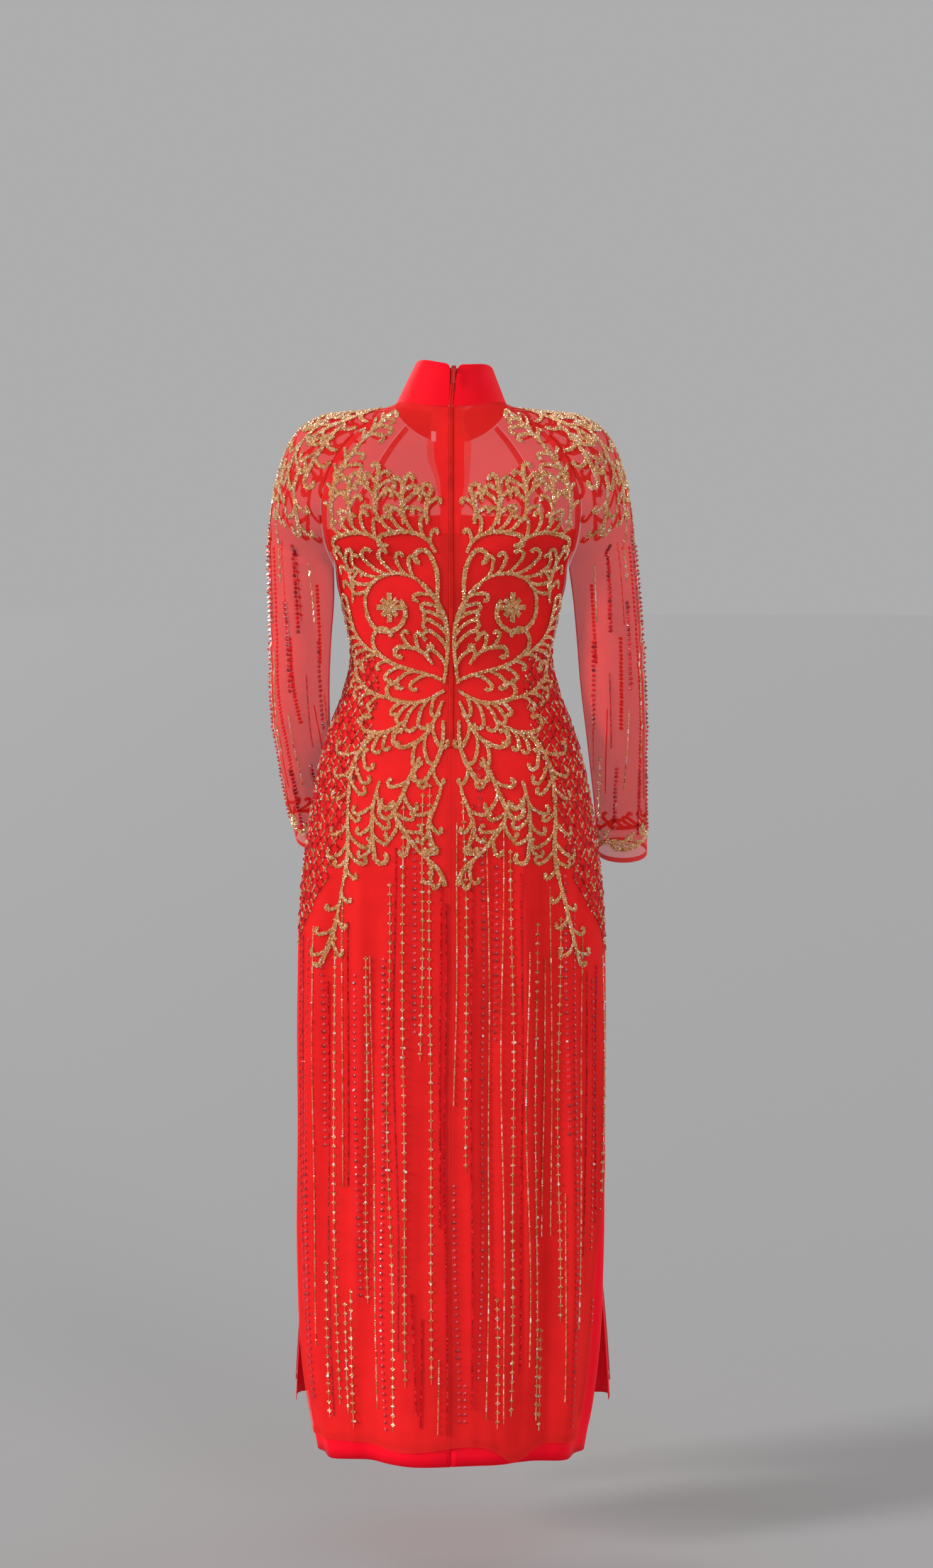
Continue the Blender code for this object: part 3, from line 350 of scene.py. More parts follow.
# The collar's section, as shares of its height: its lower edge, where the rounding of its top begins, and the
# rounding itself. Columns: up, depth.
NECK_LAP, COLLAR_ROUND_UP = -0.035, 0.97
COLLAR_ROUND = (
    (0.985, 0.0002),
    (0.996, 0.0006),
    (1.000, 0.0010),
    (0.996, 0.0014),
    (0.985, 0.0018),
)

# Zip: its top on the collar, where it comes onto the back, its teeth and the section of its two edges
ZIP_TOP_UP, ZIP_ON_BACK = 0.0505, 0.001
COLLAR_PATH_STEP, BACK_PATH_POINTS = 0.002, 200
TOOTH_PITCH = 0.0012
TOOTH_SIZE = (0.0019, 0.0007, 0.0005)
TOOTH_PLACE, TOOTH_OUT = 0.0013, 0.0006

# Columns: across, as a share of the half width, and out.
COIL_PROFILE = (
    (-1.0, 0.0000),
    (-0.8, 0.0006),
    (-0.3, 0.0006),
    (-0.1, 0.0001),
    (0.1, 0.0001),
    (0.3, 0.0006),
    (0.8, 0.0006),
    (1.0, 0.0000),
)
COIL_HALF_WIDTH = 0.0025

LABEL_WIDTH, LABEL_HEIGHT, LABEL_TOP_DOWN, LABEL_INNER = 0.0045, 0.0125, 0.034, 0.0205
LABEL_SEAM, LABEL_DEPTH = 0.0015, 0.0012

# All random draws start from this
SEED = 7

# Scrollwork, on one half of a panel and mirrored on the other. Each stem runs from u, v and a heading, in
# degrees up from outwards, to the next u, v and heading. It may end in a curl: its radius, to the left where
# positive, and its sweep in degrees. Then come how many leaves grow from it, their length, and on which side
# they grow: 1 for its left, -1 for its right and 0 for both in turn.
# Columns: u, v, aim, to_u, to_v, to_aim, curl, sweep, leaves, leaf, sides.
SCROLLS = (
    (0.009, -0.352, 98, 0.036, -0.226, 44, 0.0, 0, 6, 0.040, -1),
    (0.036, -0.226, 44, 0.116, -0.246, -80, -0.0370, 235, 7, 0.046, 1),
    (0.012, -0.348, 24, 0.098, -0.314, 40, 0.0200, 220, 4, 0.034, -1),
    (0.024, -0.328, 62, 0.064, -0.306, 0, -0.0085, 220, 3, 0.026, 1),
    (0.086, -0.322, 22, 0.152, -0.252, 84, -0.0110, 220, 7, 0.042, -1),
    (0.140, -0.250, 100, 0.150, -0.190, 74, -0.0090, 220, 4, 0.034, 0),
    (0.016, -0.262, 84, 0.026, -0.190, 60, -0.0120, 230, 3, 0.034, 1),
    (0.020, -0.186, 70, 0.084, -0.164, -14, -0.0090, 220, 5, 0.034, 1),
    (0.084, -0.178, 44, 0.154, -0.168, -18, -0.0080, 220, 5, 0.034, 1),
    (0.030, -0.150, 86, 0.026, -0.112, 116, -0.0080, 230, 3, 0.028, 0),
    (0.060, -0.150, 84, 0.058, -0.094, 106, 0.0060, 200, 5, 0.030, 0),
    (0.092, -0.146, 70, 0.092, -0.082, 98, -0.0060, 200, 6, 0.030, 0),
    (0.126, -0.150, 74, 0.130, -0.094, 104, 0.0080, 220, 5, 0.032, 0),
    (0.156, -0.148, 86, 0.122, -0.052, 130, 0.0, 0, 8, 0.030, 0),
    (0.122, -0.052, 130, 0.082, -0.010, 134, 0.0060, 180, 6, 0.026, 0),
    (0.010, -0.362, -34, 0.074, -0.374, 16, 0.0130, 220, 5, 0.038, -1),
    (0.080, -0.372, 8, 0.134, -0.342, 46, 0.0100, 220, 4, 0.032, -1),
    (0.011, -0.376, -66, 0.056, -0.432, -20, 0.0140, 220, 4, 0.038, -1),
    (0.060, -0.402, -30, 0.110, -0.414, 14, 0.0120, 220, 4, 0.036, -1),
    (0.010, -0.400, -92, 0.030, -0.470, -56, 0.0120, 230, 4, 0.034, -1),
    (0.040, -0.446, -60, 0.074, -0.516, -60, 0.0110, 230, 4, 0.038, 0),
    (0.100, -0.420, -36, 0.136, -0.500, -86, 0.0, 0, 6, 0.042, 0),
    (0.136, -0.500, -86, 0.140, -0.600, -76, 0.0, 0, 7, 0.036, 0),
    (0.140, -0.600, -76, 0.172, -0.710, -66, 0.0050, 160, 6, 0.028, 0),
    (0.074, -0.500, -96, 0.046, -0.556, -128, 0.0, 0, 4, 0.036, 0),
    (0.046, -0.556, -128, 0.008, -0.606, -100, 0.0, 0, 4, 0.028, 0),
    (0.012, -0.480, -80, 0.024, -0.552, -116, 0.0080, 200, 4, 0.030, 0),
    (0.092, -0.476, -72, 0.098, -0.570, -98, -0.0100, 230, 6, 0.034, 0),
)

# The rosettes, each round its middle. Columns: u, v, reach.
ROSETTES = ((0.080, -0.256, 0.018),)

# Columns: as for the panels' scrolls.
SLEEVE_SCROLLS = (
    (0.004, -0.006, -88, 0.010, -0.120, -88, 0.0, 0, 9, 0.040, 1),
    (0.020, -0.020, -60, 0.062, -0.110, -66, 0.010, 220, 6, 0.036, 0),
    (0.012, -0.110, -84, 0.022, -0.215, -92, 0.009, 220, 7, 0.036, 0),
    (0.040, -0.090, -70, 0.070, -0.175, -92, -0.009, 220, 6, 0.034, 0),
    (0.060, -0.080, -50, 0.104, -0.150, -80, 0.009, 220, 5, 0.032, 0),
    (0.050, -0.160, -80, 0.052, -0.235, -100, -0.008, 220, 4, 0.028, 0),
    (0.090, -0.150, -80, 0.100, -0.225, -96, -0.007, 220, 4, 0.028, 0),
    (0.002, -0.205, -90, 0.004, -0.290, -90, 0.006, 180, 4, 0.024, 0),
    (0.000, -0.676, -10, 0.060, -0.692, 4, 0.008, 220, 4, 0.026, 1),
    (0.055, -0.684, 8, 0.104, -0.692, -10, 0.0, 0, 3, 0.024, 1),
    (0.006, -0.626, -96, 0.008, -0.676, -70, 0.006, 220, 3, 0.024, 0),
)
CENTRE_CLEAR = 0.0035
BEAD_MARGIN = 0.0035
STEM_WIDTH, LEAF_WIDTH, PETAL_WIDTH = 0.0054, 0.0047, 0.0070
STROKE_STEP, CURL_STEPS, SHORT_LINE = 0.00155, 0.8, 12

# Stems: how far they run on straight at their ends, their length as a share of their chord, and how much the
# curl at the end tightens
STEM_HANDLE, STEM_BOW, STEM_TIGHTEN = 0.42, 1.15, 0.5

# Leaves: the angles from the stem at their foot, over their length and at their tip, the share of their size
# that comes before the curl, and the curl's radius as a share, sweep and tightening
LEAF_FOOT, LEAF_LEAN, LEAF_TIP = 24, 18, 34
LEAF_REACH, LEAF_CURL, LEAF_SWEEP, LEAF_TIGHTEN = 0.60, 0.15, 185, 0.30

# Where leaves sit along their stem, as a first share and a range, and how their size changes along it
LEAF_FROM, LEAF_RANGE = 0.06, 0.88
LEAF_LEAST, LEAF_GROWTH, LEAF_UNEVEN, LEAF_WAVES = 0.8, 0.4, 0.2, (7.3, 140, 90)

# Lines are narrow where they start and reach their full width after 1 / LINE_FILL of their length
LINE_START, LINE_GROWTH, LINE_FILL = 0.55, 0.45, 1.6

# Rosettes: petals, the short ones' share of the long ones' reach, and where a petal's line starts
PETALS, SHORT_PETAL, PETAL_START, PETAL_POINTS = 8, 0.80, 0.12, 10

# Seed beads: size, how uneven it is, height, and how far they are off their lanes and lean. Lanes are across
# a stem or leaf, as shares of its half width.
BEAD_SIZE, BEAD_UNEVEN, BEAD_HEIGHT = 0.0018, (0.85, 1.15), 0.8
BEAD_SCATTER, BEAD_LEAN = 0.00028, 0.22
STEM_LANES = (-0.78, -0.26, 0.26, 0.78)
LEAF_LANES = (-0.70, 0.0, 0.70)

# The ground under the scrolls' beads. Columns: across, as a share of the half width, and out.
GROUND_PROFILE = (
    (-1.0, 0.0001),
    (-0.5, 0.0007),
    (0.5, 0.0007),
    (1.0, 0.0001),
)

# The side lattice: where its inner edge is, as a share of the way from the centre line to the panel's edge
# Columns: down, inner_edge.
LATTICE = (
    (0.315, 0.62),
    (0.360, 0.54),
    (0.420, 0.53),
    (0.500, 0.57),
    (0.600, 0.66),
    (0.700, 0.90),
)
LATTICE_CELL, LATTICE_SLOPE, LATTICE_STEP = 0.0124, 1.45, 0.0026
LATTICE_LOW, LATTICE_MIDDLE, LATTICE_HIGH, LATTICE_REACH = -0.71, -0.50, -0.31, 0.6
LATTICE_EDGE, LATTICE_GOLD_SHARE = 0.002, 0.9
LATTICE_RED_SIZE, LATTICE_GOLD_SIZE = (0.0027, 0.0019, 0.0014), (0.0030, 0.0017, 0.0014)

# Bead strings: the pitch of their groups of beads, and the beads of a group. A turn of UPRIGHT is along the
# string, and sizes are along, across and up. Columns: shape, colour, across, up, turn, size.
UPRIGHT = math.pi / 2
SEED_SIZE = (0.0021, 0.0021, 0.0017)
STRINGS = {
    "gold_cross": (0.0122, (
        ("stud", "gold", 0.0, 0.0, 0.4, SEED_SIZE),
        ("stud", "gold", 0.0019, 0.0, 0.4, SEED_SIZE),
        ("stud", "gold", -0.0019, 0.0, 0.4, SEED_SIZE),
        ("stud", "gold", 0.0, 0.0019, 0.4, SEED_SIZE),
        ("stud", "gold", 0.0, -0.0019, 0.4, SEED_SIZE),
        ("bugle", "gold", 0.0, -0.0061, UPRIGHT, (0.0058, 0.0010, 0.0009)),
    )),
    "gold_bugle": (0.0098, (
        ("bugle", "gold", 0.0, 0.0, UPRIGHT, (0.0060, 0.0017, 0.0015)),
        ("stud", "gold", 0.0, 0.0047, 0.3, (0.0016, 0.0016, 0.0013)),
    )),
    "red_sequin": (0.0092, (
        ("sequin", "red", 0.0, 0.0, 0.2, (0.0054, 0.0054, 0.0010)),
        ("stud", "red", 0.0, 0.0001, 0.4, (0.0018, 0.0018, 0.0020)),
    )),
    "red_seed": (0.0029, (
        ("bugle", "red", 0.0, 0.0, UPRIGHT, (0.0027, 0.0018, 0.0014)),
    )),
    "red_bicone": (0.0060, (
        ("sequin", "red", 0.0, 0.0, 0.3, (0.0062, 0.0052, 0.0044)),
    )),
}

# Columns: u, start_v, end_v, kind.
SLEEVE_STRINGS = (
    (-0.012, -0.290, -0.670, "red_bicone"),
    (0.002, -0.300, -0.620, "gold_bugle"),
    (0.016, -0.270, -0.640, "red_seed"),
    (0.030, -0.290, -0.660, "red_bicone"),
    (-0.026, -0.260, -0.390, "red_bicone"),
    (-0.030, -0.430, -0.560, "gold_bugle"),
    (-0.034, -0.580, -0.670, "red_bicone"),
    (-0.048, -0.250, -0.330, "gold_cross"),
    (-0.052, -0.360, -0.470, "red_bicone"),
    (-0.050, -0.500, -0.600, "gold_bugle"),
    (-0.070, -0.270, -0.400, "red_bicone"),
    (-0.074, -0.450, -0.540, "red_seed"),
    (-0.066, -0.570, -0.665, "red_bicone"),
    (-0.092, -0.300, -0.380, "gold_bugle"),
    (-0.096, -0.410, -0.520, "red_bicone"),
    (-0.088, -0.560, -0.650, "gold_cross"),
    (0.048, -0.280, -0.390, "gold_bugle"),
    (0.056, -0.410, -0.550, "red_bicone"),
    (0.070, -0.290, -0.380, "gold_cross"),
    (0.074, -0.520, -0.640, "red_seed"),
    (0.092, -0.330, -0.450, "red_bicone"),
    (0.096, -0.500, -0.600, "gold_bugle"),
)

# The skirt's strings: how many, the kinds they take, the level where they are spread evenly and how far they
# stay from the net's edge there, and where they start, with a wave across the panel and a drop near its edges
SKIRT_STRINGS = 42
SKIRT_KINDS = ("gold_cross", "gold_bugle", "red_sequin", "red_seed")
SPREAD_DOWN, SPREAD_EDGE = 0.9, 0.008
START_LEVEL, START_WAVE, START_WAVES, WAVE_REACH = -0.60, 0.09, 9.0, 0.7
START_DROP, DROP_REACH = 0.10, 0.72
LOWEST_START = 0.08

# How uneven the strings are: the least and the most shift across, shift of the start, length, height of the
# end above the hem, break before the next one, sway, and the phase of the sway
STRING_SHIFT = (-0.0025, 0.0025)
STRING_START = (-0.06, 0.06)
STRING_LENGTH = (0.20, 0.80)
STRING_END = (0.034, 0.070)
STRING_BREAK = (0.04, 0.34)
STRING_SWAY, STRING_PHASE = (0.0008, 0.0034), (0, 6)
SWAY_RUN, SWAY_WAVES = 0.35, (2.1, 5.3)

# Crystals, near-white beads that stand in for the beadwork's glints as painted highlights: how often one sits
# on a scroll or a string, its size against the bead's, and how far out it is
SCROLL_GLINT_CRYSTALS, SCROLL_GLINT_CRYSTAL_SIZE = 0.004, 1.2
STRING_GLINT_CRYSTALS, STRING_GLINT_CRYSTAL_SIZE = 0.012, 1.35
GLINT_CRYSTAL_OUT, SCROLL_BEAD_OUT, BEAD_OUT = 0.0012, 0.0004, 0.0002

# Beads: their slot, the colours they are picked from, and how often each one is
# Columns: slot, metallic, roughness, colours, odds.
BEAD_LOOKS = {
    # gold: the near-white last tone, on a tenth of the beads, is a painted glint; the other tones are the
    # gold's own uneven colour
    "gold": ("gold_beads", 0.45, 0.24, (
        (0.84, 0.46, 0.20), (0.58, 0.25, 0.08), (0.98, 0.70, 0.40), (1.0, 0.95, 0.86),
    ), (0.46, 0.24, 0.20, 0.10)),
    "red": ("red_beads", 0.0, 0.34, (
        (0.58, 0.002, 0.012), (0.80, 0.008, 0.022), (0.34, 0.000, 0.006),
    ), (0.5, 0.3, 0.2)),
    # The crystals' near-white colours are painted glints.
    "crystal": ("crystal", 0.1, 0.04, (
        (0.95, 0.93, 0.95), (1.0, 0.86, 0.80),
    ), (0.7, 0.3)),
}
BEAD_COAT, BEAD_COAT_ROUGHNESS = 0.3, 0.1
BEAD_GRAIN, BEAD_GRAIN_SHARE = 900.0, 0.15

# Bead shapes, of size 1 each way, foot at 0: corners and triangles
STUD = (
    ((-0.5, -0.5, 0.0), (0.5, -0.5, 0.0), (0.5, 0.5, 0.0), (-0.5, 0.5, 0.0), (0.0, 0.0, 1.0)),
    ((0, 1, 4), (1, 2, 4), (2, 3, 4), (3, 0, 4)),
)
BUGLE = (
    (
        (-0.5, -0.5, 0.0), (0.5, -0.5, 0.0), (0.5, 0.5, 0.0), (-0.5, 0.5, 0.0), (-0.46, 0.0, 1.0),
        (0.46, 0.0, 1.0),
    ),
    ((0, 1, 5), (0, 5, 4), (2, 3, 4), (2, 4, 5), (1, 2, 5), (3, 0, 4)),
)
SEQUIN = (
    (
        (0.5, 0.0, 0.2), (0.25, 0.433, 0.2), (-0.25, 0.433, 0.2), (-0.5, 0.0, 0.2), (-0.25, -0.433, 0.2),
        (0.25, -0.433, 0.2), (0.0, 0.0, 1.0),
    ),
    ((0, 1, 6), (1, 2, 6), (2, 3, 6), (3, 4, 6), (4, 5, 6), (5, 0, 6)),
)
BEAD_SHAPES = {"stud": STUD, "bugle": BUGLE, "sequin": SEQUIN}

# Camera: where it stands, how far down it looks, and its lens
CAMERA_PLACE = (0.0197, -3.5, -0.194)
CAMERA_DOWN = 4.8
CAMERA_LENS = 61.66

# Soft lights from far off. Columns: place it shines from, strength, and spread in degrees.
LIGHTS = (
    ((-4.0, -1.7, 1.6), 2.4, 12.0),
    ((2.0, -3.2, 1.0), 0.9, 24.0),
    ((-1.8, 3.0, 1.8), 1.1, 20.0),
    ((3.4, 1.6, 0.8), 0.6, 30.0),
)
WORLD_COLOUR = (0.42, 0.42, 0.42, 1.0)
FLOOR_RADIUS, FLOOR_SIDES, FLOOR_ROUGHNESS = 60.0, 96, 0.85
FLOOR_COLOURS = ((0.355, 0.355, 0.36, 1.0), (0.375, 0.375, 0.375, 1.0))

# Materials. shade is how dark the colour gets in places, and repeat and relief are the pattern's size and
# height, in metres. Columns: colour, shade, roughness, metallic, alpha, sheen, pattern, repeat, relief.
MATERIALS = {
    "net": ((0.96, 0.026, 0.022), 0.93, 0.80, 0.0, 0.58, 0.0, "net", 0.0011, 0.00020),
    "net_doubled": ((0.78, 0.004, 0.014), 0.90, 0.75, 0.0, 0.88, 0.0, "net", 0.0011, 0.00020),
    "satin": ((0.97, 0.002, 0.018), 0.94, 0.50, 0.0, 1.0, 0.0, "weave", 0.0007, 0.00006),
    "collar_satin": ((0.96, 0.002, 0.014), 0.94, 0.55, 0.0, 1.0, 0.0, "weave", 0.0007, 0.00008),
    "tape": ((0.62, 0.002, 0.008), 0.85, 0.80, 0.0, 1.0, 0.0, "weave", 0.0009, 0.00015),
    "coil": ((0.84, 0.022, 0.014), 0.78, 0.42, 0.0, 1.0, 0.0, "grain", 0.0020, 0.00004),
    "painted_metal": ((0.62, 0.05, 0.04), 0.85, 0.34, 0.55, 1.0, 0.0, "grain", 0.0030, 0.00003),
    "label": ((0.84, 0.84, 0.87), 0.94, 0.62, 0.0, 1.0, 0.05, "weave", 0.0006, 0.00008),
    # The beads' ground: its dark brown is painted shade, for the gaps between the scrolls' beads
    "bead_ground_gap_shade": ((0.62, 0.29, 0.11), 0.62, 0.45, 0.25, 1.0, 0.0, "grain", 0.0012, 0.00030),
}

# The cloth shader's gloss and sheen roughness, and the mottle's scale and where its colour ramp starts and
# ends
CLOTH_GLOSS, SHEEN_ROUGHNESS = 0.08, 0.5
MOTTLE_SCALE, MOTTLE_LOW, MOTTLE_HIGH = 38.0, 0.35, 0.65


def smooth(table, at):
    """The table's columns after the first, at places along the first, on smooth curves through its rows."""
    rows = np.array(table, float)
    knots, values = rows[:, 0], rows[:, 1:]
    slopes = np.gradient(values, knots, axis=0)
    at = np.clip(at, knots[0], knots[-1])
    i = np.clip(np.searchsorted(knots, at, side="right") - 1, 0, len(knots) - 2)
    width = (knots[i + 1] - knots[i])[:, None]
    t = (at - knots[i])[:, None] / width
    return (
        values[i] * (1 + 2 * t) * (1 - t) ** 2
        + values[i + 1] * t * t * (3 - 2 * t)
        + (slopes[i] * t * (1 - t) ** 2 - slopes[i + 1] * t * t * (1 - t)) * width
    )


def ease(low, high, value):
    t = np.clip((value - low) / (high - low), 0.0, 1.0)
    return t * t * (3 - 2 * t)


def bezier(start, leave, arrive, end, t):
    t = t[:, None]
    return (
        start * (1 - t) ** 3
        + (start + leave) * 3 * t * (1 - t) ** 2
        + (end - arrive) * 3 * t * t * (1 - t)
        + end * t**3
    )


def points(x, y, z):
    columns = np.broadcast_arrays(np.atleast_1d(x), np.atleast_1d(y), np.atleast_1d(z))
    return np.stack(columns, axis=1).astype(float)


def length(vectors):
    return np.linalg.norm(vectors, axis=1, keepdims=True)


def heading(turn, rise, forward):
    """Unit vectors turned from +X towards +Y, or towards -Y for the front, that also climb."""
    angle = np.radians(turn)
    way = points(np.cos(angle), forward * np.sin(angle), rise)
    return way / length(way)


def neck_ring(angle):
    """The neck seam at angles round it, in degrees from the centre back."""
    angle = np.radians(angle)
    depth = np.where(np.cos(angle) > 0, NECK_BACK, NECK_FRONT)
    half_drop = -NECK_FRONT_DROP / 2
    saddle = (half_drop - NECK_SIDE_RISE) / 2
    level = (half_drop + NECK_SIDE_RISE) / 2 - half_drop * np.cos(angle) + saddle * np.cos(2 * angle)
    return points(NECK_HALF_WIDTH * np.sin(angle), -depth * np.cos(angle), level)


def to_neck(place, first, angle, share):
    """Points of the yoke moved so that its first section lies on the neck seam, fading out down the yoke."""
    return place + (neck_ring(angle) - first) * ease(NECK_BLEND_SHARE, 0.0, share)[:, None]


def swell(spec, across, x, down):
    """The swelling's height, which dies away before the panel's edge."""
    middle, level, reach_across, reach_down, height = spec
    spread = ((np.abs(x) - middle) / reach_across) ** 2 + ((down - level) / reach_down) ** 2
    return height * np.exp(-spread) * ease(0, SWELL_EDGE, 1 - across)


def fold_height(folds, place, down, hem):
    total = np.zeros(len(place))
    for middle, half_width, start, height in folds:
        ridge = np.exp(-RIDGE_SHARPNESS * ((place - middle) / half_width) ** 2)
        total += height * ridge * ease(start, hem, down)
    return total


def half_section(centre, edge, way, across, flatness):
    """A curve from the centre line, where it runs straight across, to the panel's edge."""
    chord = length(edge - centre)
    straight_out = np.array([1.0, 0.0, 0.0]) * flatness * chord
    return bezier(centre, straight_out, way * EDGE_HANDLE * chord, edge, across)


def yoke_section(profile, level, raglan, forward, across, share, flatness):
    centre = points(0.0, profile, level)
    seam = smooth(raglan, share)
    return half_section(centre, seam[:, :3], heading(seam[:, 3], seam[:, 4], forward), across, flatness)


def back_base(across, down):
    """Points of the right back half. across is 0 at the centre back and 1 at the edge."""
    share = np.clip(down / UNDERARM_DOWN, 0.0, 1.0)
    yoke = yoke_section(smooth(YOKE, share)[:, 0], -down, BACK_RAGLAN, 1, across, share, BACK_FLATNESS)
    first = yoke_section(YOKE[0][1], 0.0, BACK_RAGLAN, 1, across, share * 0, BACK_FLATNESS)
    yoke = to_neck(yoke, first, across * BACK_RAGLAN_ANGLE, share)
    centre_y, edge_x, edge_y = smooth(BODY, down)[:, :3].T
    level = -down - HEM_CORNER_DROP * across**2 * ease(HEM_CORNER_FROM, BACK_HEM_DOWN, down)
    centre, edge = points(0, centre_y, level), points(edge_x, edge_y, level)
    body = half_section(centre, edge, heading(90, 0, 1), across, BACK_FLATNESS)
    return np.where((down <= UNDERARM_DOWN)[:, None], yoke, body)


def front_base(across, down):
    """Points of the right front half. In the yoke, down is a share of it times UNDERARM_DOWN."""
    share = np.clip(down / UNDERARM_DOWN, 0.0, 1.0)
    level = -NECK_FRONT_DROP - (UNDERARM_DOWN - NECK_FRONT_DROP) * share
    yoke = yoke_section(smooth(YOKE, share)[:, 1], level, FRONT_RAGLAN, -1, across, share, FRONT_FLATNESS)
    neck = -NECK_FRONT_DROP
    first = yoke_section(YOKE[0][2], neck, FRONT_RAGLAN, -1, across, share * 0, FRONT_FLATNESS)
    yoke = to_neck(yoke, first, 180 - across * (180 - FRONT_RAGLAN_ANGLE), share)
    centre_y, edge_x, edge_y = smooth(BODY, down)[:, 3:].T
    centre, edge = points(0, centre_y, -down), points(edge_x, edge_y, -down)
    body = half_section(centre, edge, heading(90, 0, -1), across, FRONT_FLATNESS)
    return np.where((down <= UNDERARM_DOWN)[:, None], yoke, body)


def half_normals(base, across, down, flip):
    """Outward unit normals of base(across, down), from small steps along it."""
    right, left = np.minimum(across + STEP, 1.0), np.maximum(across - STEP, 0.0)
    low, high = down + STEP, np.maximum(down - STEP, 0.0)
    normal = np.cross(base(right, down) - base(left, down), base(across, low) - base(across, high))
    return normal * flip / length(normal)


def with_running_length(table):
    """A sleeve's sections with the distance along its middles put in front."""
    rows = np.array(table, float)
    steps = np.linalg.norm(np.diff(rows[:, :3], axis=0), axis=1)
    return np.column_stack([np.concatenate([[0], np.cumsum(steps)]), rows])


def over_the_arm(start, leave, ridge, over, end, arrive, roundness, around):
    """A section from start over the ridge to end, as two curves that meet on the ridge."""
    back_size, front_size = roundness * length(ridge - start), roundness * length(end - ridge)
    back = bezier(start, leave * back_size, over * back_size, ridge, around * 2)
    front = bezier(ridge, over * front_size, arrive * front_size, end, around * 2 - 1)
    return np.where((around <= 0.5)[:, None], back, front)


def sleeve_cap(around, share):
    """Points of the cap between the raglan seams, from the back seam to the front one."""
    back, front, top = smooth(BACK_RAGLAN, share), smooth(FRONT_RAGLAN, share), smooth(SHOULDER, share)
    clear = points(2 * SEAM_GAP * ease(CAP_GAP_FROM, 1.0, share), 0.0, 0.0)
    leave, arrive = heading(back[:, 5], back[:, 6], 1), -heading(front[:, 5], front[:, 6], -1)
    return over_the_arm(
        back[:, :3] + clear, leave, top[:, :3], np.array([0.0, 1.0, 0.0]),
        front[:, :3] + clear, arrive, top[:, 3:4], around,
    )


def sleeve_arm(sections, around, along):
    """Points of the arm, from its inner line at the back, over its outer side, and round again."""
    x, y, z, half_width, half_depth, outer_lift, front_lift = smooth(sections, along).T
    inner, ridge = points(x - half_width, y, z - outer_lift), points(x + half_width, y, z + outer_lift)
    over = points(0.0, half_depth, front_lift)
    over = over / length(over)
    roundness = half_depth[:, None] * 4 / 3 / length(ridge - inner)
    return over_the_arm(inner, -over, ridge, over, inner, -over, roundness, around)


def sleeve_base(sections, around, along):
    """Points of the right sleeve. along is the cap's share up to 1, then 1 and the metres down the arm."""
    around, along = np.broadcast_arrays(np.atleast_1d(around).astype(float), along)
    share = np.clip(along, 0.0, 1.0)
    angle = BACK_RAGLAN_ANGLE + (FRONT_RAGLAN_ANGLE - BACK_RAGLAN_ANGLE) * around
    cap = to_neck(sleeve_cap(around, share), sleeve_cap(around, share * 0), angle, share)
    arm = sleeve_arm(sections, around, np.maximum(along - 1, 0.0))
    return np.where((along <= 1)[:, None], cap, arm)


def sleeve_normals(sections, around, along):
    low, high = np.minimum(along + STEP, sections[-1, 0] + 1), np.maximum(along - STEP, 0.0)
    at_joint = (along == 1) & ((around == 0) | (around == 1))
    high = np.where(at_joint, along, high)
    back, front = around - STEP, around + STEP
    back = np.where(along >= 1, back % 1.0, np.maximum(back, 0.0))
    front = np.where(along >= 1, front % 1.0, np.minimum(front, 1.0))
    across = sleeve_base(sections, front, along) - sleeve_base(sections, back, along)
    normal = np.cross(sleeve_base(sections, around, low) - sleeve_base(sections, around, high), across)
    return normal / length(normal)


def back_lining_top(across):
    return BACK_LINING_TOP + BACK_LINING_SLOPE * across


def front_lining_top(across):
    return FRONT_LINING_TOP + FRONT_LINING_SLOPE * across


def collar_points(angle, up, depth):
    """Points of the collar: up is 0 at the neck seam and 1 at the top edge."""
    base, turn = neck_ring(angle), np.radians(angle)
    back = np.where(np.cos(turn) > 0, COLLAR_TOP_BACK, COLLAR_TOP_FRONT)
    middle = (COLLAR_BACK_HEIGHT + COLLAR_FRONT_HEIGHT) / 2
    half_range = (COLLAR_BACK_HEIGHT - COLLAR_FRONT_HEIGHT) / 2
    top_x = COLLAR_TOP_HALF_WIDTH * np.sin(turn)
    level = base[:, 2] + middle + half_range * np.cos(turn) - COLLAR_LEAN * top_x
    top = points(top_x + COLLAR_TOP_SHIFT, -back * np.cos(turn), level)
    up = np.broadcast_to(up, len(base))
    place = base + (top - base) * up[:, None]
    place[:, 2] += SEAM_GAP * (1 - up)
    inward = -points(np.sin(turn) / NECK_HALF_WIDTH, -np.cos(turn) / NECK_BACK, 0.0)
    return place + inward / length(inward) * depth


def collar_centre_back(up):
    """The point of the collar's centre back line at a height above the neck seam, and its outward normal."""
    foot, top = collar_points(np.array([0.0]), 0.0, 0.0)[0], collar_points(np.array([0.0]), 1.0, 0.0)[0]
    line = (top - foot) / np.linalg.norm(top - foot)
    normal = np.cross((1.0, 0.0, 0.0), line)
    return foot + line * up, normal / np.linalg.norm(normal)


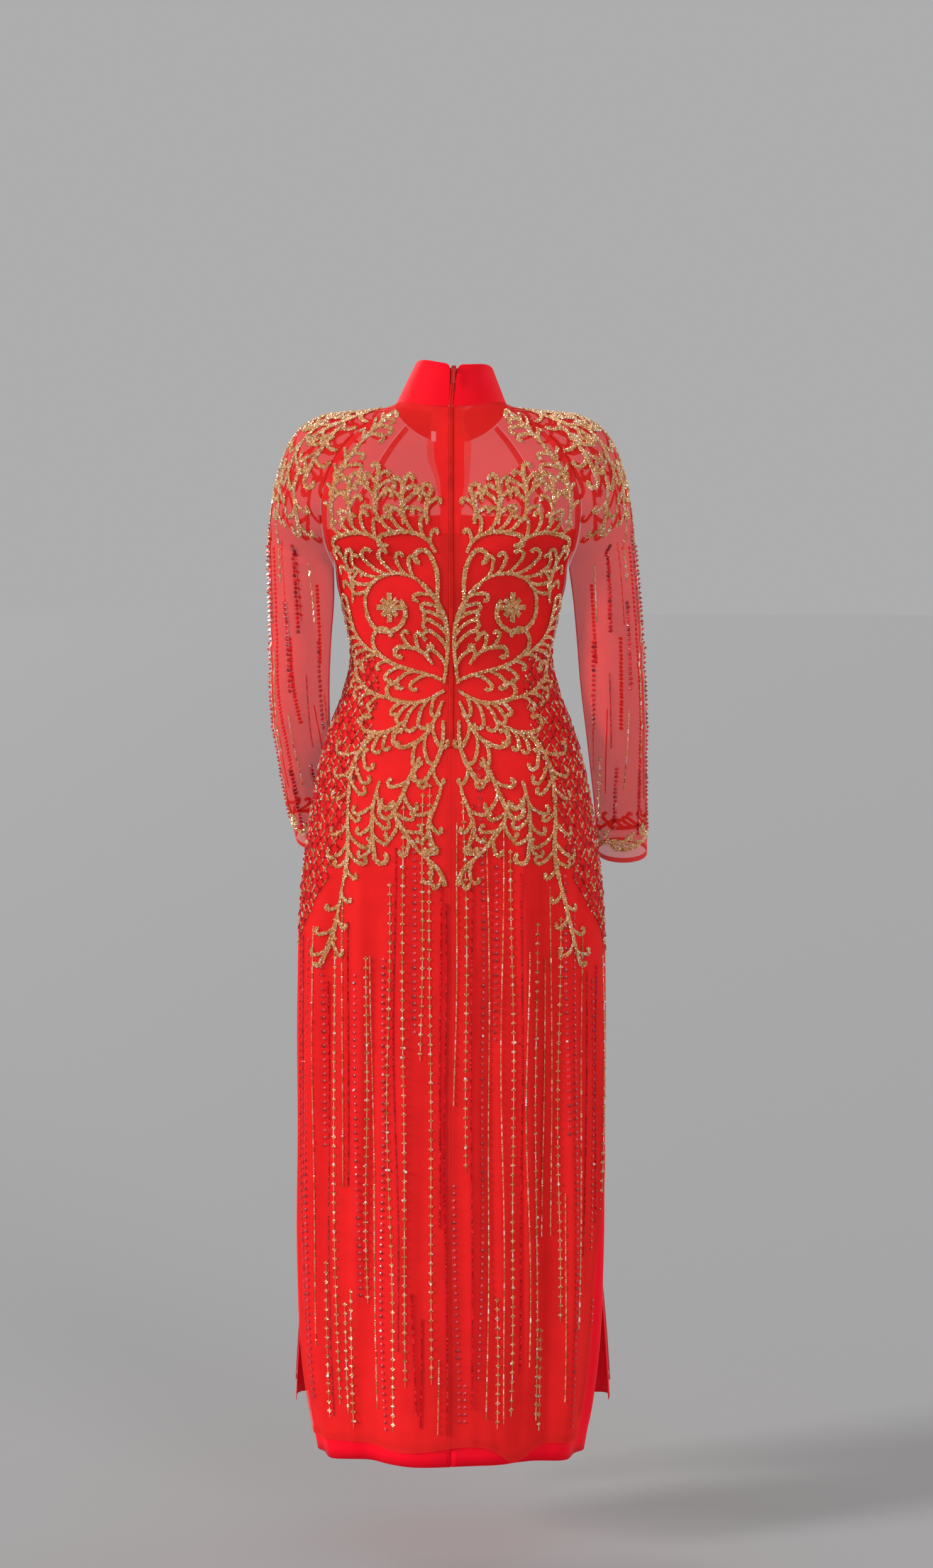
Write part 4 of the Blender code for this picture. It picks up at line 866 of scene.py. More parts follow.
class Surface:
    """A cloth's outer surface as a fine grid of points, each with its outward normal and its flat position.

    u is metres across the cloth from its middle column, and v is how far up it is: a panel's level, or minus
    the metres along a sleeve. Rows are found by what the surface was made with, in self.steps.
    """

    def __init__(self, place, way, steps, v, creases):
        spans = np.linalg.norm(np.diff(place, axis=1), axis=2)
        across = np.concatenate([np.zeros((len(steps), 1)), np.cumsum(spans, axis=1)], axis=1)
        self.u = across - across[:, across.shape[1] // 2][:, None]
        self.v = v
        self.steps = np.array(steps)
        self.way = way
        self.margins = np.zeros((len(steps), 2))
        self.place = place + way * crease_height(creases, self.u, v)[:, :, None]
        down_way = np.gradient(self.place, axis=0)
        across_way = np.gradient(self.place, axis=1)
        normal = np.cross(across_way, down_way)
        normal /= np.linalg.norm(normal, axis=2, keepdims=True) + 1e-12
        self.normal = normal * np.sign((normal * way).sum(axis=2, keepdims=True))
        middle = (len(steps) // 2, across.shape[1] // 2)
        self.hand = -np.sign(np.dot(np.cross(self.normal[middle], across_way[middle]), down_way[middle]))

    def read(self, grid, row, column):
        """A grid's values between its points, at rows and columns counted with fractions."""
        i = np.clip(row.astype(int), 0, grid.shape[0] - 2)
        j = np.clip(column.astype(int), 0, grid.shape[1] - 2)
        s, t = row - i, column - j
        if grid.ndim == 3:
            s, t = s[:, None], t[:, None]
        top = grid[i, j] * (1 - t) + grid[i, j + 1] * t
        low = grid[i + 1, j] * (1 - t) + grid[i + 1, j + 1] * t
        return top * (1 - s) + low * s

    def row_of(self, step):
        return np.interp(step, self.steps, np.arange(len(self.steps)))

    def edges(self, step):
        """u at both edges of the cloth, at one of the steps it was made with."""
        row = np.full(2, self.row_of(step))
        return self.read(self.u, row, np.array([0.0, self.u.shape[1] - 1.0]))

    def cut(self, rows_of_steps, span, columns, depth):
        """Points of a piece cut from the cloth, and their flat positions.

        rows_of_steps gives a step, or a row of steps across it, for each row of the piece. span gives u at
        both ends of a row.
        """
        shares = np.linspace(0, 1, columns)
        every_column = np.arange(float(self.u.shape[1]))
        places, flats = [], []
        for steps in rows_of_steps:
            steps = np.broadcast_to(steps, (columns,))
            row = self.row_of(steps)
            start, end = span(float(steps.mean()))
            across = self.read(self.u, np.full(len(every_column), row.mean()), every_column)
            u = start + (end - start) * shares
            column = np.interp(u, across, every_column)
            places.append(self.read(self.place, row, column) - self.read(self.way, row, column) * depth)
            flats.append(np.stack([u, self.read(self.v, row, column)], axis=1))
        return np.array(places), np.array(flats)

    def find(self, u, v):
        """The rows and columns of flat positions, and whether each is on the cloth, inside its margins."""
        rows, columns = self.u.shape
        middle = columns // 2
        row = np.interp(-v, -self.v[:, middle], np.arange(rows))
        column = middle + u / np.gradient(self.u, axis=1)[row.astype(int), middle]
        slopes = [np.gradient(grid, axis=axis) for grid in (self.u, self.v) for axis in (0, 1)]
        for _ in range(FIND_STEPS):
            row, column = np.clip(row, 0, rows - 1), np.clip(column, 0, columns - 1)
            miss_u, miss_v = u - self.read(self.u, row, column), v - self.read(self.v, row, column)
            u_row, u_column, v_row, v_column = (self.read(slope, row, column) for slope in slopes)
            scale = u_row * v_column - u_column * v_row
            scale = np.where(np.abs(scale) < 1e-12, 1e-12, scale)
            row_step = (miss_u * v_column - miss_v * u_column) / scale
            column_step = (miss_v * u_row - miss_u * v_row) / scale
            row = row + np.clip(row_step, -MOST_ROWS, MOST_ROWS)
            column = column + np.clip(column_step, -MOST_COLUMNS, MOST_COLUMNS)
        row, column = np.clip(row, 0, rows - 1), np.clip(column, 0, columns - 1)
        off = np.hypot(u - self.read(self.u, row, column), v - self.read(self.v, row, column))
        first, last = np.zeros(len(row)), np.full(len(row), columns - 1.0)
        left = self.read(self.u, row, first) + self.read(self.margins, row, first)
        right = self.read(self.u, row, last) - self.read(self.margins, row, first + 1)
        return row, column, (off < FOUND_WITHIN) & (u > left) & (u < right)

    def at(self, u, v, out):
        """Points at flat positions, their normals, the way across the cloth there, and which are on it."""
        u, v, out = np.broadcast_arrays(u, v, out)
        row, column, on_it = self.find(u, v)
        normal = self.read(self.normal, row, column)
        normal /= length(normal)
        across = self.read(np.gradient(self.place, axis=1), row, column)
        across -= normal * (across * normal).sum(axis=1, keepdims=True)
        across /= length(across)
        return self.read(self.place, row, column) + normal * out[:, None], normal, across, on_it


def crease_height(creases, u, v):
    """How far the creases lift the cloth at flat positions; each follows a bowed line and dies away."""
    total = np.zeros(u.shape)
    for start_u, start_v, end_u, end_v, bow, half_width, height in creases:
        run_u, run_v = end_u - start_u, end_v - start_v
        run = math.hypot(run_u, run_v)
        share = ((u - start_u) * run_u + (v - start_v) * run_v) / run**2
        off = ((u - start_u) * run_v - (v - start_v) * run_u) / run - bow * 4 * share * (1 - share)
        past = np.maximum(np.abs(share - 0.5) - 0.5, 0.0) * run
        fade = CREASE_END + CREASE_MIDDLE * np.sin(np.pi * np.clip(share, 0.0, 1.0))
        total += height * fade * np.exp(-RIDGE_SHARPNESS * (off**2 + past**2) / half_width**2)
    return total


def panel_surface(base, flip, spec, folds, hem, downs, creases):
    """The whole back or front panel, its left half mirrored from its right."""
    across = np.linspace(-1, 1, PANEL_COLUMNS)
    side = np.where(across < 0, -1.0, 1.0)
    reach, down = (grid.ravel() for grid in np.meshgrid(np.abs(across), downs))
    sides = np.tile(side, len(downs))
    place = base(reach, down)
    way = half_normals(base, reach, down, flip)
    out = swell(spec, reach, place[:, 0], -place[:, 2]) + fold_height(folds, sides * reach, down, hem)
    place = place + way * out[:, None]
    for vectors in (place, way):
        vectors[:, 0] *= sides
    shape = (len(downs), PANEL_COLUMNS, 3)
    place, way = place.reshape(shape), way.reshape(shape)
    return Surface(place, way, downs, place[:, :, 2], creases)


def sleeve_surface(side, table, creases):
    sections = with_running_length(table)
    down_the_arm = 1 + np.linspace(0, sections[-1, 0], ARM_ROWS)[1:]
    alongs = np.concatenate([np.linspace(0, 1, CAP_ROWS), down_the_arm])
    around, along = (grid.ravel() for grid in np.meshgrid(np.linspace(0, 1, SLEEVE_COLUMNS), alongs))
    place, way = sleeve_base(sections, around, along), sleeve_normals(sections, around, along)
    shape = (len(alongs), SLEEVE_COLUMNS, 3)
    place, way = (vectors.reshape(shape) * np.array([side, 1, 1]) for vectors in (place, way))
    steps = np.linalg.norm(np.diff(place[:, SLEEVE_COLUMNS // 2], axis=0), axis=1)
    v = -np.concatenate([[0], np.cumsum(steps)])
    return Surface(place, way, alongs, np.repeat(v[:, None], SLEEVE_COLUMNS, axis=1), creases)


def build_mesh(name, verts, faces, material, smooth_shaded=True, flat=None, colours=None):
    """A mesh object from points and faces; flat is its layout in metres, and colours are by point."""
    faces = np.asarray(faces)
    data = bpy.data.meshes.new(name)
    data.vertices.add(len(verts))
    data.vertices.foreach_set("co", np.asarray(verts, np.float32).ravel())
    data.loops.add(faces.size)
    data.loops.foreach_set("vertex_index", faces.ravel().astype(np.int32))
    data.polygons.add(len(faces))
    data.polygons.foreach_set("loop_start", np.arange(0, faces.size, faces.shape[1], dtype=np.int32))
    if flat is not None:
        layer = data.uv_layers.new(name="flat")
        layer.data.foreach_set("uv", np.asarray(flat, np.float32)[faces.ravel()].ravel())
    if colours is not None:
        layer = data.color_attributes.new("bead_colour", "FLOAT_COLOR", "POINT")
        rgba = np.column_stack([colours, np.ones(len(colours))]).astype(np.float32)
        layer.data.foreach_set("color", rgba.ravel())
    data.update(calc_edges=True)
    data.validate()
    if smooth_shaded:
        data.shade_smooth()
    else:
        data.shade_flat()
    data.materials.append(material)
    obj = bpy.data.objects.new(name, data)
    bpy.context.scene.collection.objects.link(obj)
    return obj


def grid_faces(rows, columns):
    number = np.arange(rows * columns).reshape(rows, columns)
    corners = [number[:-1, :-1], number[:-1, 1:], number[1:, 1:], number[1:, :-1]]
    return np.stack([corner.ravel() for corner in corners], axis=1)


def cloth(name, cut, way_out, material, thickness=0.0):
    """A sheet from cut points, facing way_out at its first row, thickened inwards where it is asked for."""
    places, flats = cut
    rows, columns = places.shape[:2]
    faces = grid_faces(rows, columns)
    i, j = rows // 2, columns // 2
    facing = np.cross(places[i, j + 1] - places[i, j], places[i + 1, j] - places[i, j])
    if np.dot(facing, way_out) < 0:
        faces = faces[:, ::-1]
    obj = build_mesh(name, places.reshape(-1, 3), faces, material, flat=flats.reshape(-1, 2))
    if thickness:
        modifier = obj.modifiers.new("thickness", "SOLIDIFY")
        modifier.thickness = thickness
        modifier.offset = -1
    return obj


def on_garment(obj):
    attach(obj, "garment")
    return obj


def link(material, source, target):
    material.node_tree.links.new(source, target)


def add_node(material, kind, **values):
    """A shader node, with the values of its inputs (by name) or its own settings."""
    node = material.node_tree.nodes.new(kind)
    for name, value in values.items():
        if name in node.inputs:
            node.inputs[name].default_value = value
        else:
            setattr(node, name, value)
    return node


def pattern_height(material, pattern, repeat, layout):
    """The output that carries a texture's height: a net of small cells, a plain weave, or a fine grain."""
    if pattern == "net":
        cells = add_node(material, "ShaderNodeTexVoronoi", feature="DISTANCE_TO_EDGE", Scale=1 / repeat)
        link(material, layout, cells.inputs["Vector"])
        return cells.outputs["Distance"]
    if pattern == "grain":
        grain = add_node(material, "ShaderNodeTexNoise", Scale=1 / repeat, Detail=3.0)
        link(material, layout, grain.inputs["Vector"])
        return grain.outputs["Fac"]
    threads = []
    for direction in ("X", "Y"):
        wave = add_node(material, "ShaderNodeTexWave", Scale=0.314 / repeat, Distortion=0.4)
        wave.bands_direction = direction
        link(material, layout, wave.inputs["Vector"])
        threads.append(wave.outputs["Fac"])
    crossed = add_node(material, "ShaderNodeMath", operation="MULTIPLY")
    link(material, threads[0], crossed.inputs[0])
    link(material, threads[1], crossed.inputs[1])
    return crossed.outputs["Value"]


def new_material(name, **values):
    """A material and its surface shader, with values of the shader's inputs, an underscore for each space."""
    material = bpy.data.materials.new(name)
    material.use_nodes = True
    shader = material.node_tree.nodes["Principled BSDF"]
    for key, value in values.items():
        shader.inputs[key.replace("_", " ")].default_value = value
    return material, shader


def cloth_material(name):
    """A material whose colour varies softly and whose weave, net or grain is a fine relief."""
    colour, shade, roughness, metallic, alpha, sheen, pattern, repeat, relief = MATERIALS[name]
    material, shader = new_material(
        name, Roughness=roughness, Metallic=metallic, Alpha=alpha, Specular_IOR_Level=CLOTH_GLOSS,
        Sheen_Weight=sheen, Sheen_Roughness=SHEEN_ROUGHNESS,
    )
    place = add_node(material, "ShaderNodeTexCoord")
    mottle = add_node(material, "ShaderNodeTexNoise", Scale=MOTTLE_SCALE, Detail=4.0)
    link(material, place.outputs["Object"], mottle.inputs["Vector"])
    ramp = add_node(material, "ShaderNodeValToRGB")
    ramp.color_ramp.elements[0].position = MOTTLE_LOW
    ramp.color_ramp.elements[1].position = MOTTLE_HIGH
    ramp.color_ramp.elements[0].color = (*(value * shade for value in colour), 1.0)
    ramp.color_ramp.elements[1].color = (*colour, 1.0)
    link(material, mottle.outputs["Fac"], ramp.inputs["Fac"])
    link(material, ramp.outputs["Color"], shader.inputs["Base Color"])
    layout = place.outputs["Object" if pattern == "grain" else "UV"]
    bump = add_node(material, "ShaderNodeBump", Distance=relief, Strength=1.0)
    link(material, pattern_height(material, pattern, repeat, layout), bump.inputs["Height"])
    link(material, bump.outputs["Normal"], shader.inputs["Normal"])
    return material


def fine_steps(hem):
    """Steps down a panel, closer together to the hips than in the skirt."""
    close = np.arange(0.0, CLOSE_TO, CLOSE_STEP)
    return np.array([*close, *np.linspace(CLOSE_TO, hem, SKIRT_ROWS)])


def cut_steps(last, count):
    """Steps from 0 to last for a cut piece's rows, closer together at the top."""
    share = np.linspace(0, 1, count)
    return last * (EVEN_ROWS * share + CLOSER_ROWS * share**2)


def net_rows(steps, hem_line, shares):
    """Rows of steps down a net panel whose last part follows a wavy hem."""
    follow = ease(HEM_WAVE_FROM, 1.0, np.linspace(0, 1, len(steps)))
    return [step + hem_line(shares) * weight for step, weight in zip(steps, follow)]


def back_hem_line(edges):
    """A function of the share across half a back, which gives how far the net's hem drops there."""

    def drop(shares):
        u = edges[0] + (edges[1] - edges[0]) * shares
        total = np.zeros(len(shares))
        for middle, half_width, height in BACK_NET_HEM:
            total += height * np.exp(-(((u - middle) / half_width) ** 2))
        return total

    return drop


def mesh_trim(down, side):
    return smooth(MESH_TRIM, np.array([down]))[0, 0 if side < 0 else 1]


def bead_margins(steps, sides):
    """How far beads stay from a panel's edges, which is inside the net's own edges."""
    trims = smooth(MESH_TRIM, np.array(steps))
    return np.stack([trims[:, side] for side in sides], axis=1) + BEAD_MARGIN


def lining_trim(down):
    """The lining stops clear of the sleeve at the armhole, and at the seam's gap below it."""
    return SEAM_GAP + LINING_ARMHOLE_TRIM * (1 - ease(*LINING_ARMHOLE_FADE, down))


def centre_gap(down):
    return CB_OPENING / 2 if down <= ZIP_END_DOWN else SEAM_GAP / 2


def half_span(surface, side, inner, trim):
    """u at the left and right ends of a half panel, from the centre line's margin to the edge's."""

    def span(down):
        left, right = surface.edges(down)
        if side < 0:
            return left + trim(down), -inner(down)
        return inner(down), right - trim(down)

    return span


def add_cloth(name, cut, way_out, materials, material, node=None, thickness=0.0):
    """A piece of cloth on the garment, in place of a node of the model where one is named."""
    piece = on_garment(cloth(name, cut, way_out, materials[material], thickness))
    if node:
        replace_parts(piece, node)


def add_lining(names, surface, top, hem, span, rows, way_out, materials):
    """A lining in place of a node, between its top edge's levels and its hem. names: lining and node."""
    lining, node = names
    steps = [top + (hem - top) * share for share in cut_steps(1.0, rows)]
    cut = surface.cut(steps, span, len(top), LINING_DEPTH)
    add_cloth(lining, cut, way_out, materials, "satin", node, LINING_THICKNESS)


def whole_span(surface, trim):
    """u at the left and right ends of a whole piece, the same margin in from both edges."""

    def span(step):
        left, right = surface.edges(step)
        return left + trim(step), right - trim(step)

    return span


def add_net(names, surface, rows, span, columns, band, way_out, materials):
    """A net in place of a node, and the doubled band along its last row. names: net, band and node."""
    net, hem, node = names
    cut = surface.cut(rows, span, columns, NET_DEPTH)
    add_cloth(net, cut, way_out, materials, "net", node)
    last = rows[-1]
    cut = surface.cut([last - band, last - band / 2, last], span, columns, STRIP_DEPTH)
    add_cloth(hem, cut, way_out, materials, "net_doubled")


def make_back(back, materials):
    """The back's two halves: each a net that ends in a wavy hem, over a lining with a straight top edge."""
    for side, word in SIDES:
        span = half_span(back, side, centre_gap, lambda down, side=side: mesh_trim(down, side))
        shares = np.linspace(0, 1, NET_HALF_COLUMNS)
        hem = back_hem_line(span(NET_HEM_DOWN))
        rows = net_rows(cut_steps(NET_HEM_DOWN, BACK_NET_ROWS), hem, shares)
        names = (f"back_net_{word}", f"back_net_hem_{word}", f"back_mesh_{word}")
        add_net(names, back, rows, span, NET_HALF_COLUMNS, HEM_BAND, BACKWARD, materials)
        span = half_span(back, side, centre_gap, lining_trim)
        shares = np.linspace(0, 1, LINING_HALF_COLUMNS)
        top = back_lining_top(shares if side > 0 else shares[::-1])
        names = (f"back_lining_{word}_cloth", f"back_lining_{word}")
        add_lining(names, back, top, BACK_HEM_DOWN, span, BACK_LINING_ROWS, BACKWARD, materials)


def make_front(front, materials):
    """The front's net and lining, each in one piece."""
    rows = cut_steps(FRONT_HEM_DOWN - MESH_HEM_LIFT, FRONT_NET_ROWS)
    span = whole_span(front, lambda down: mesh_trim(down, -1))
    names = ("front_net", "front_net_hem", "front_mesh")
    add_net(names, front, rows, span, NET_HALF_COLUMNS * 2 - 1, HEM_BAND, FORWARD, materials)
    top = front_lining_top(np.abs(np.linspace(-1, 1, LINING_HALF_COLUMNS * 2 - 1)))
    span = whole_span(front, lining_trim)
    names = ("front_lining_cloth", "front_lining")
    add_lining(names, front, top, FRONT_HEM_DOWN, span, FRONT_LINING_ROWS, FORWARD, materials)


def make_sleeve(side, word, sleeve, materials):
    """A sleeve's net, open at the cuff, with its cuff hem."""
    last = sleeve.steps[-1]
    rows = [*np.linspace(0, 1, CAP_CUT_ROWS), *np.linspace(1, last, ARM_CUT_ROWS)[1:]]
    span = whole_span(sleeve, lambda step: SEAM_GAP if step < 1 else 0.0)
    names = (f"sleeve_net_{word}", f"cuff_hem_{word}", f"sleeve_{word}")
    add_net(names, sleeve, rows, span, SLEEVE_CUT_COLUMNS, CUFF_BAND, (side, 0, 0), materials)


def edge_strip(surface, side, near, width):
    """u at both sides of a strip along an edge of the cloth; near gives how far in from it that starts."""

    def span(step):
        start = surface.edges(step)[0 if side < 0 else 1] - side * near(step)
        return sorted((start, start - side * width))

    return span


def seam_strips(back, front, sleeves, materials):
    """Doubled net along the raglan seams, side seams and free edges, and along the sleeves' inner seams."""
    seam_width = SEAM_STRIP - SEAM_GAP
    for side, word in SIDES:
        for surface, name, out in ((back, "back", BACKWARD), (front, "front", FORWARD)):
            trim_side = side if name == "back" else -1
            seam = edge_strip(surface, side, lambda down: SEAM_GAP, seam_width)
            free = edge_strip(surface, side, lambda down, at=trim_side: mesh_trim(down, at), EDGE_BAND)
            for strip, start, end, rows, columns, is_free in PANEL_STRIPS:
                span = free if is_free else seam
                cut = surface.cut(np.linspace(start, end, rows), span, columns, STRIP_DEPTH)
                add_cloth(f"{strip}_{name}_{word}", cut, out, materials, "net_doubled")
        sleeve = sleeves[word]
        steps = np.linspace(1.0, sleeve.steps[-1], SLEEVE_STRIP_ROWS)
        for end, name in ((-1, "back"), (1, "front")):
            cut = sleeve.cut(steps, edge_strip(sleeve, end, lambda step: 0.0, SEAM_STRIP), 4, STRIP_DEPTH)
            name = f"sleeve_seam_{name}_{word}"
            add_cloth(name, cut, (-side, 0, 0), materials, "net_doubled")


def beside_centre(side, inner, outer):
    """u at both sides of a strip beside the centre line, from inner(down) to outer(down) away from it."""
    return lambda down: sorted((side * inner(down), side * outer(down)))


def make_back_seam(back, materials):
    """What shows through the net beside the zip: allowances, a paler facing, the tapes and a blank label."""
    for side, word in SIDES:

        def allowance(down, column=0 if side < 0 else 1):
            return smooth(ALLOWANCES, np.array([down]))[0, column]

        def facing(down, allowance=allowance):
            return allowance(down) + FACING_WIDTH * (1 - ease(*FACING_FADE, down)) + FACING_LAP

        steps = np.linspace(SEAM_GAP, back_lining_top(0.1), ALLOWANCE_ROWS)
        cut = back.cut(steps, beside_centre(side, lambda down: CB_OPENING / 2, allowance), 6, STRIP_DEPTH)
        add_cloth(f"seam_allowance_{word}", cut, BACKWARD, materials, "collar_satin")
        cut = back.cut(steps, beside_centre(side, allowance, facing), 4, STRIP_DEPTH)
        add_cloth(f"seam_facing_{word}", cut, BACKWARD, materials, "net")
        tape = beside_centre(side, lambda down: TAPE_INNER, lambda down: TAPE_OUTER)
        cut = back.cut(np.linspace(ZIP_ON_BACK, TAPE_END_DOWN, TAPE_ROWS), tape, 4, TAPE_DEPTH)
        name = f"zip_tape_{word}"
        add_cloth(f"{name}_cloth", cut, BACKWARD, materials, "tape", name)
    steps = np.linspace(LABEL_TOP_DOWN, LABEL_TOP_DOWN + LABEL_HEIGHT, 6)
    label = beside_centre(-1, lambda down: LABEL_INNER - LABEL_SEAM, lambda down: LABEL_INNER + LABEL_WIDTH)
    cut = back.cut(steps, label, 4, LABEL_DEPTH)
    add_cloth("label_cloth", cut, BACKWARD, materials, "label", "label")


def make_neck_seam(back, materials):
    """The neck seam's allowance inside the back, and the zip's tape inside the collar's opening."""
    for side, word in SIDES:
        span = half_span(back, side, lambda down: TAPE_OUTER, lambda down: SEAM_GAP)
        cut = back.cut(np.linspace(SEAM_GAP, NECK_ALLOWANCE, 4), span, 30, STRIP_DEPTH)
        add_cloth(f"neck_seam_{word}", cut, BACKWARD, materials, "net_doubled")
    angles = np.linspace(-TAPE_TOP_ANGLE, TAPE_TOP_ANGLE, 9)
    ups = np.linspace(0.0, TAPE_TOP_UP, 16)
    grid = np.array([collar_points(angles, up, COLLAR_WALL + SEAM_GAP) for up in ups])
    add_cloth("zip_tape_top", (grid, grid[:, :, ::2]), BACKWARD, materials, "tape")


def make_centre_seam(back, materials):
    """The seam below the zip, with its allowances behind net and lining, and a facing behind the zip."""
    for name, start, end, half_width, depth, material in CENTRE_SEAMS:
        steps = np.linspace(start, end, CENTRE_SEAM_ROWS)
        cut = back.cut(steps, lambda down, half_width=half_width: (-half_width, half_width), 5, depth)
        add_cloth(name, cut, BACKWARD, materials, material)


def zip_path(back):
    """Points down the zip from behind its slider to its end, a tooth apart, with outward normals."""
    on_collar = [collar_centre_back(up) for up in np.arange(ZIP_TOP_UP, 0.0, -COLLAR_PATH_STEP)]
    downs = np.linspace(ZIP_ON_BACK, ZIP_END_DOWN, BACK_PATH_POINTS)
    on_back, outs, _, _ = back.at(np.zeros(len(downs)), -downs, 0.0)
    places = np.concatenate([[place for place, _ in on_collar], on_back])
    normals = np.concatenate([[normal for _, normal in on_collar], outs])
    run = np.concatenate([[0], np.cumsum(np.linalg.norm(np.diff(places, axis=0), axis=1))])
    at = np.arange(0, run[-1], TOOTH_PITCH)
    places, normals = (
        np.stack([np.interp(at, run, vectors[:, axis]) for axis in range(3)], axis=1)
        for vectors in (places, normals)
    )
    return places, normals / length(normals)


def make_zip(back, materials):
    """The closed coil: two rounded edges with a dark line between them, and a row of small teeth on each."""
    places, normals = zip_path(back)
    across = np.broadcast_to((1.0, 0.0, 0.0), places.shape)
    columns = [places + across * share * COIL_HALF_WIDTH + normals * out for share, out in COIL_PROFILE]
    grid = np.stack(columns, axis=1)
    add_cloth("zip_edges", (grid, grid[:, :, ::2]), BACKWARD, materials, "coil", "zip_chain")
    sizes = np.broadcast_to(TOOTH_SIZE, places.shape)
    rows = [
        copies(BUGLE, places + across * hand * TOOTH_PLACE + normals * TOOTH_OUT, normals, across, sizes)
        for hand in (-1, 1)
    ]
    verts = np.concatenate([verts for verts, _ in rows])
    faces = np.concatenate([rows[0][1], rows[1][1] + len(rows[0][0])])
    teeth = build_mesh("zip_teeth", verts, faces, materials["coil"], smooth_shaded=False)
    on_garment(teeth)


def end_caps(count, columns):
    """Faces that close both ends of a folded wall, between its outer rows and its inner ones."""
    caps = []
    for row in range(count // 2):
        low, high = row * columns, (count - 1 - row) * columns
        next_low, next_high = low + columns, high - columns
        far = columns - 1
        caps.append((low, high, next_high, next_low))
        caps.append((low + far, next_low + far, next_high + far, high + far))
    return np.array(caps)


def make_collar(materials):
    """The stand collar: a wall with a rounded top edge, open at the centre back with rounded corners."""
    ups = np.linspace(NECK_LAP, COLLAR_ROUND_UP, COLLAR_ROWS)
    profile = [*((up, 0.0) for up in ups), *COLLAR_ROUND, *((up, COLLAR_WALL) for up in ups[::-1])]
    share = np.linspace(-1, 1, COLLAR_ANGLES)
    rows = []
    for up, depth in profile:
        opening = CB_OPENING + (COLLAR_TOP_OPENING - CB_OPENING) * up**2
        half_width = NECK_HALF_WIDTH + (COLLAR_TOP_HALF_WIDTH - NECK_HALF_WIDTH) * up
        first = math.degrees(math.asin(opening / 2 / half_width))
        angle = 180 + share * (180 - first)
        from_edge = np.clip((180 - first) * (1 - np.abs(share)) / COLLAR_CORNER_ANGLE, 0, 1)
        corner = 1 - np.sqrt(1 - (1 - from_edge) ** 2)
        rows.append(collar_points(angle, up * (1 - COLLAR_CORNER_DROP * corner), depth))
    grid = np.array(rows)
    spans = np.linalg.norm(np.diff(grid, axis=1), axis=2)
    run = np.concatenate([np.zeros((len(rows), 1)), np.cumsum(spans, axis=1)], axis=1)
    flats = np.stack([run, grid[:, :, 2]], axis=2).reshape(-1, 2)
    count, columns = grid.shape[:2]
    faces = np.concatenate([grid_faces(count, columns), end_caps(count, columns)])[:, ::-1]
    collar = build_mesh("collar_stand", grid.reshape(-1, 3), faces, materials["collar_satin"], flat=flats)
    collar.data.set_sharp_from_angle(angle=math.radians(COLLAR_SHARP_EDGE))
    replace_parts(on_garment(collar), "collar")


def bead_material(name, metallic, roughness):
    """Beads take their colours from the mesh, a little uneven."""
    material, shader = new_material(
        name, Metallic=metallic, Roughness=roughness, Coat_Weight=BEAD_COAT,
        Coat_Roughness=BEAD_COAT_ROUGHNESS,
    )
    colour = add_node(material, "ShaderNodeVertexColor")
    colour.layer_name = "bead_colour"
    grain = add_node(material, "ShaderNodeTexNoise", Scale=BEAD_GRAIN, Detail=2.0)
    place = add_node(material, "ShaderNodeTexCoord")
    link(material, place.outputs["Object"], grain.inputs["Vector"])
    shade = add_node(material, "ShaderNodeMix", data_type="RGBA", blend_type="MULTIPLY")
    shade.inputs["Factor"].default_value = BEAD_GRAIN_SHARE
    link(material, colour.outputs["Color"], shade.inputs["A"])
    link(material, grain.outputs["Color"], shade.inputs["B"])
    link(material, shade.outputs["Result"], shader.inputs["Base Color"])
    return material


def aimed(angle):
    """A flat unit vector at an angle in degrees up from outwards."""
    return np.array([math.cos(math.radians(angle)), math.sin(math.radians(angle))])


def stem_line(start, aim, end, end_aim):
    """A smooth line between two flat positions, with the angles it has there."""
    chord = np.linalg.norm(end - start)
    leave, arrive = (aimed(angle) * chord * STEM_HANDLE for angle in (aim, end_aim))
    count = max(6, int(chord * STEM_BOW / STROKE_STEP))
    return bezier(start, leave, arrive, end, np.linspace(0, 1, count))


def curl_line(start, aim, radius, sweep, tighten):
    """An arc from start that tightens as it turns, its middle on its left where its radius is above zero."""
    sweep = math.radians(sweep)
    count = max(5, int(abs(radius) * CURL_STEPS * sweep / STROKE_STEP))
    turn = np.linspace(0, sweep, count)
    step = abs(radius) * (1 - tighten * turn / sweep) * sweep / (count - 1)
    way = math.radians(aim) + math.copysign(1.0, radius) * turn
    moves = np.stack([np.cos(way) * step, np.sin(way) * step], axis=1)
    return start + np.cumsum(moves, axis=0)


def leaf_line(start, aim, side, size):
    """A leaf: it leaves its stem at a slant, bends outwards and curls over at its tip."""
    foot = aim + side * LEAF_FOOT
    last = foot + side * LEAF_TIP
    tip = start + aimed(foot + side * LEAF_LEAN) * size * LEAF_REACH
    curl = curl_line(tip, last, side * size * LEAF_CURL, LEAF_SWEEP, LEAF_TIGHTEN)
    return np.concatenate([stem_line(start, foot, tip, last), curl])


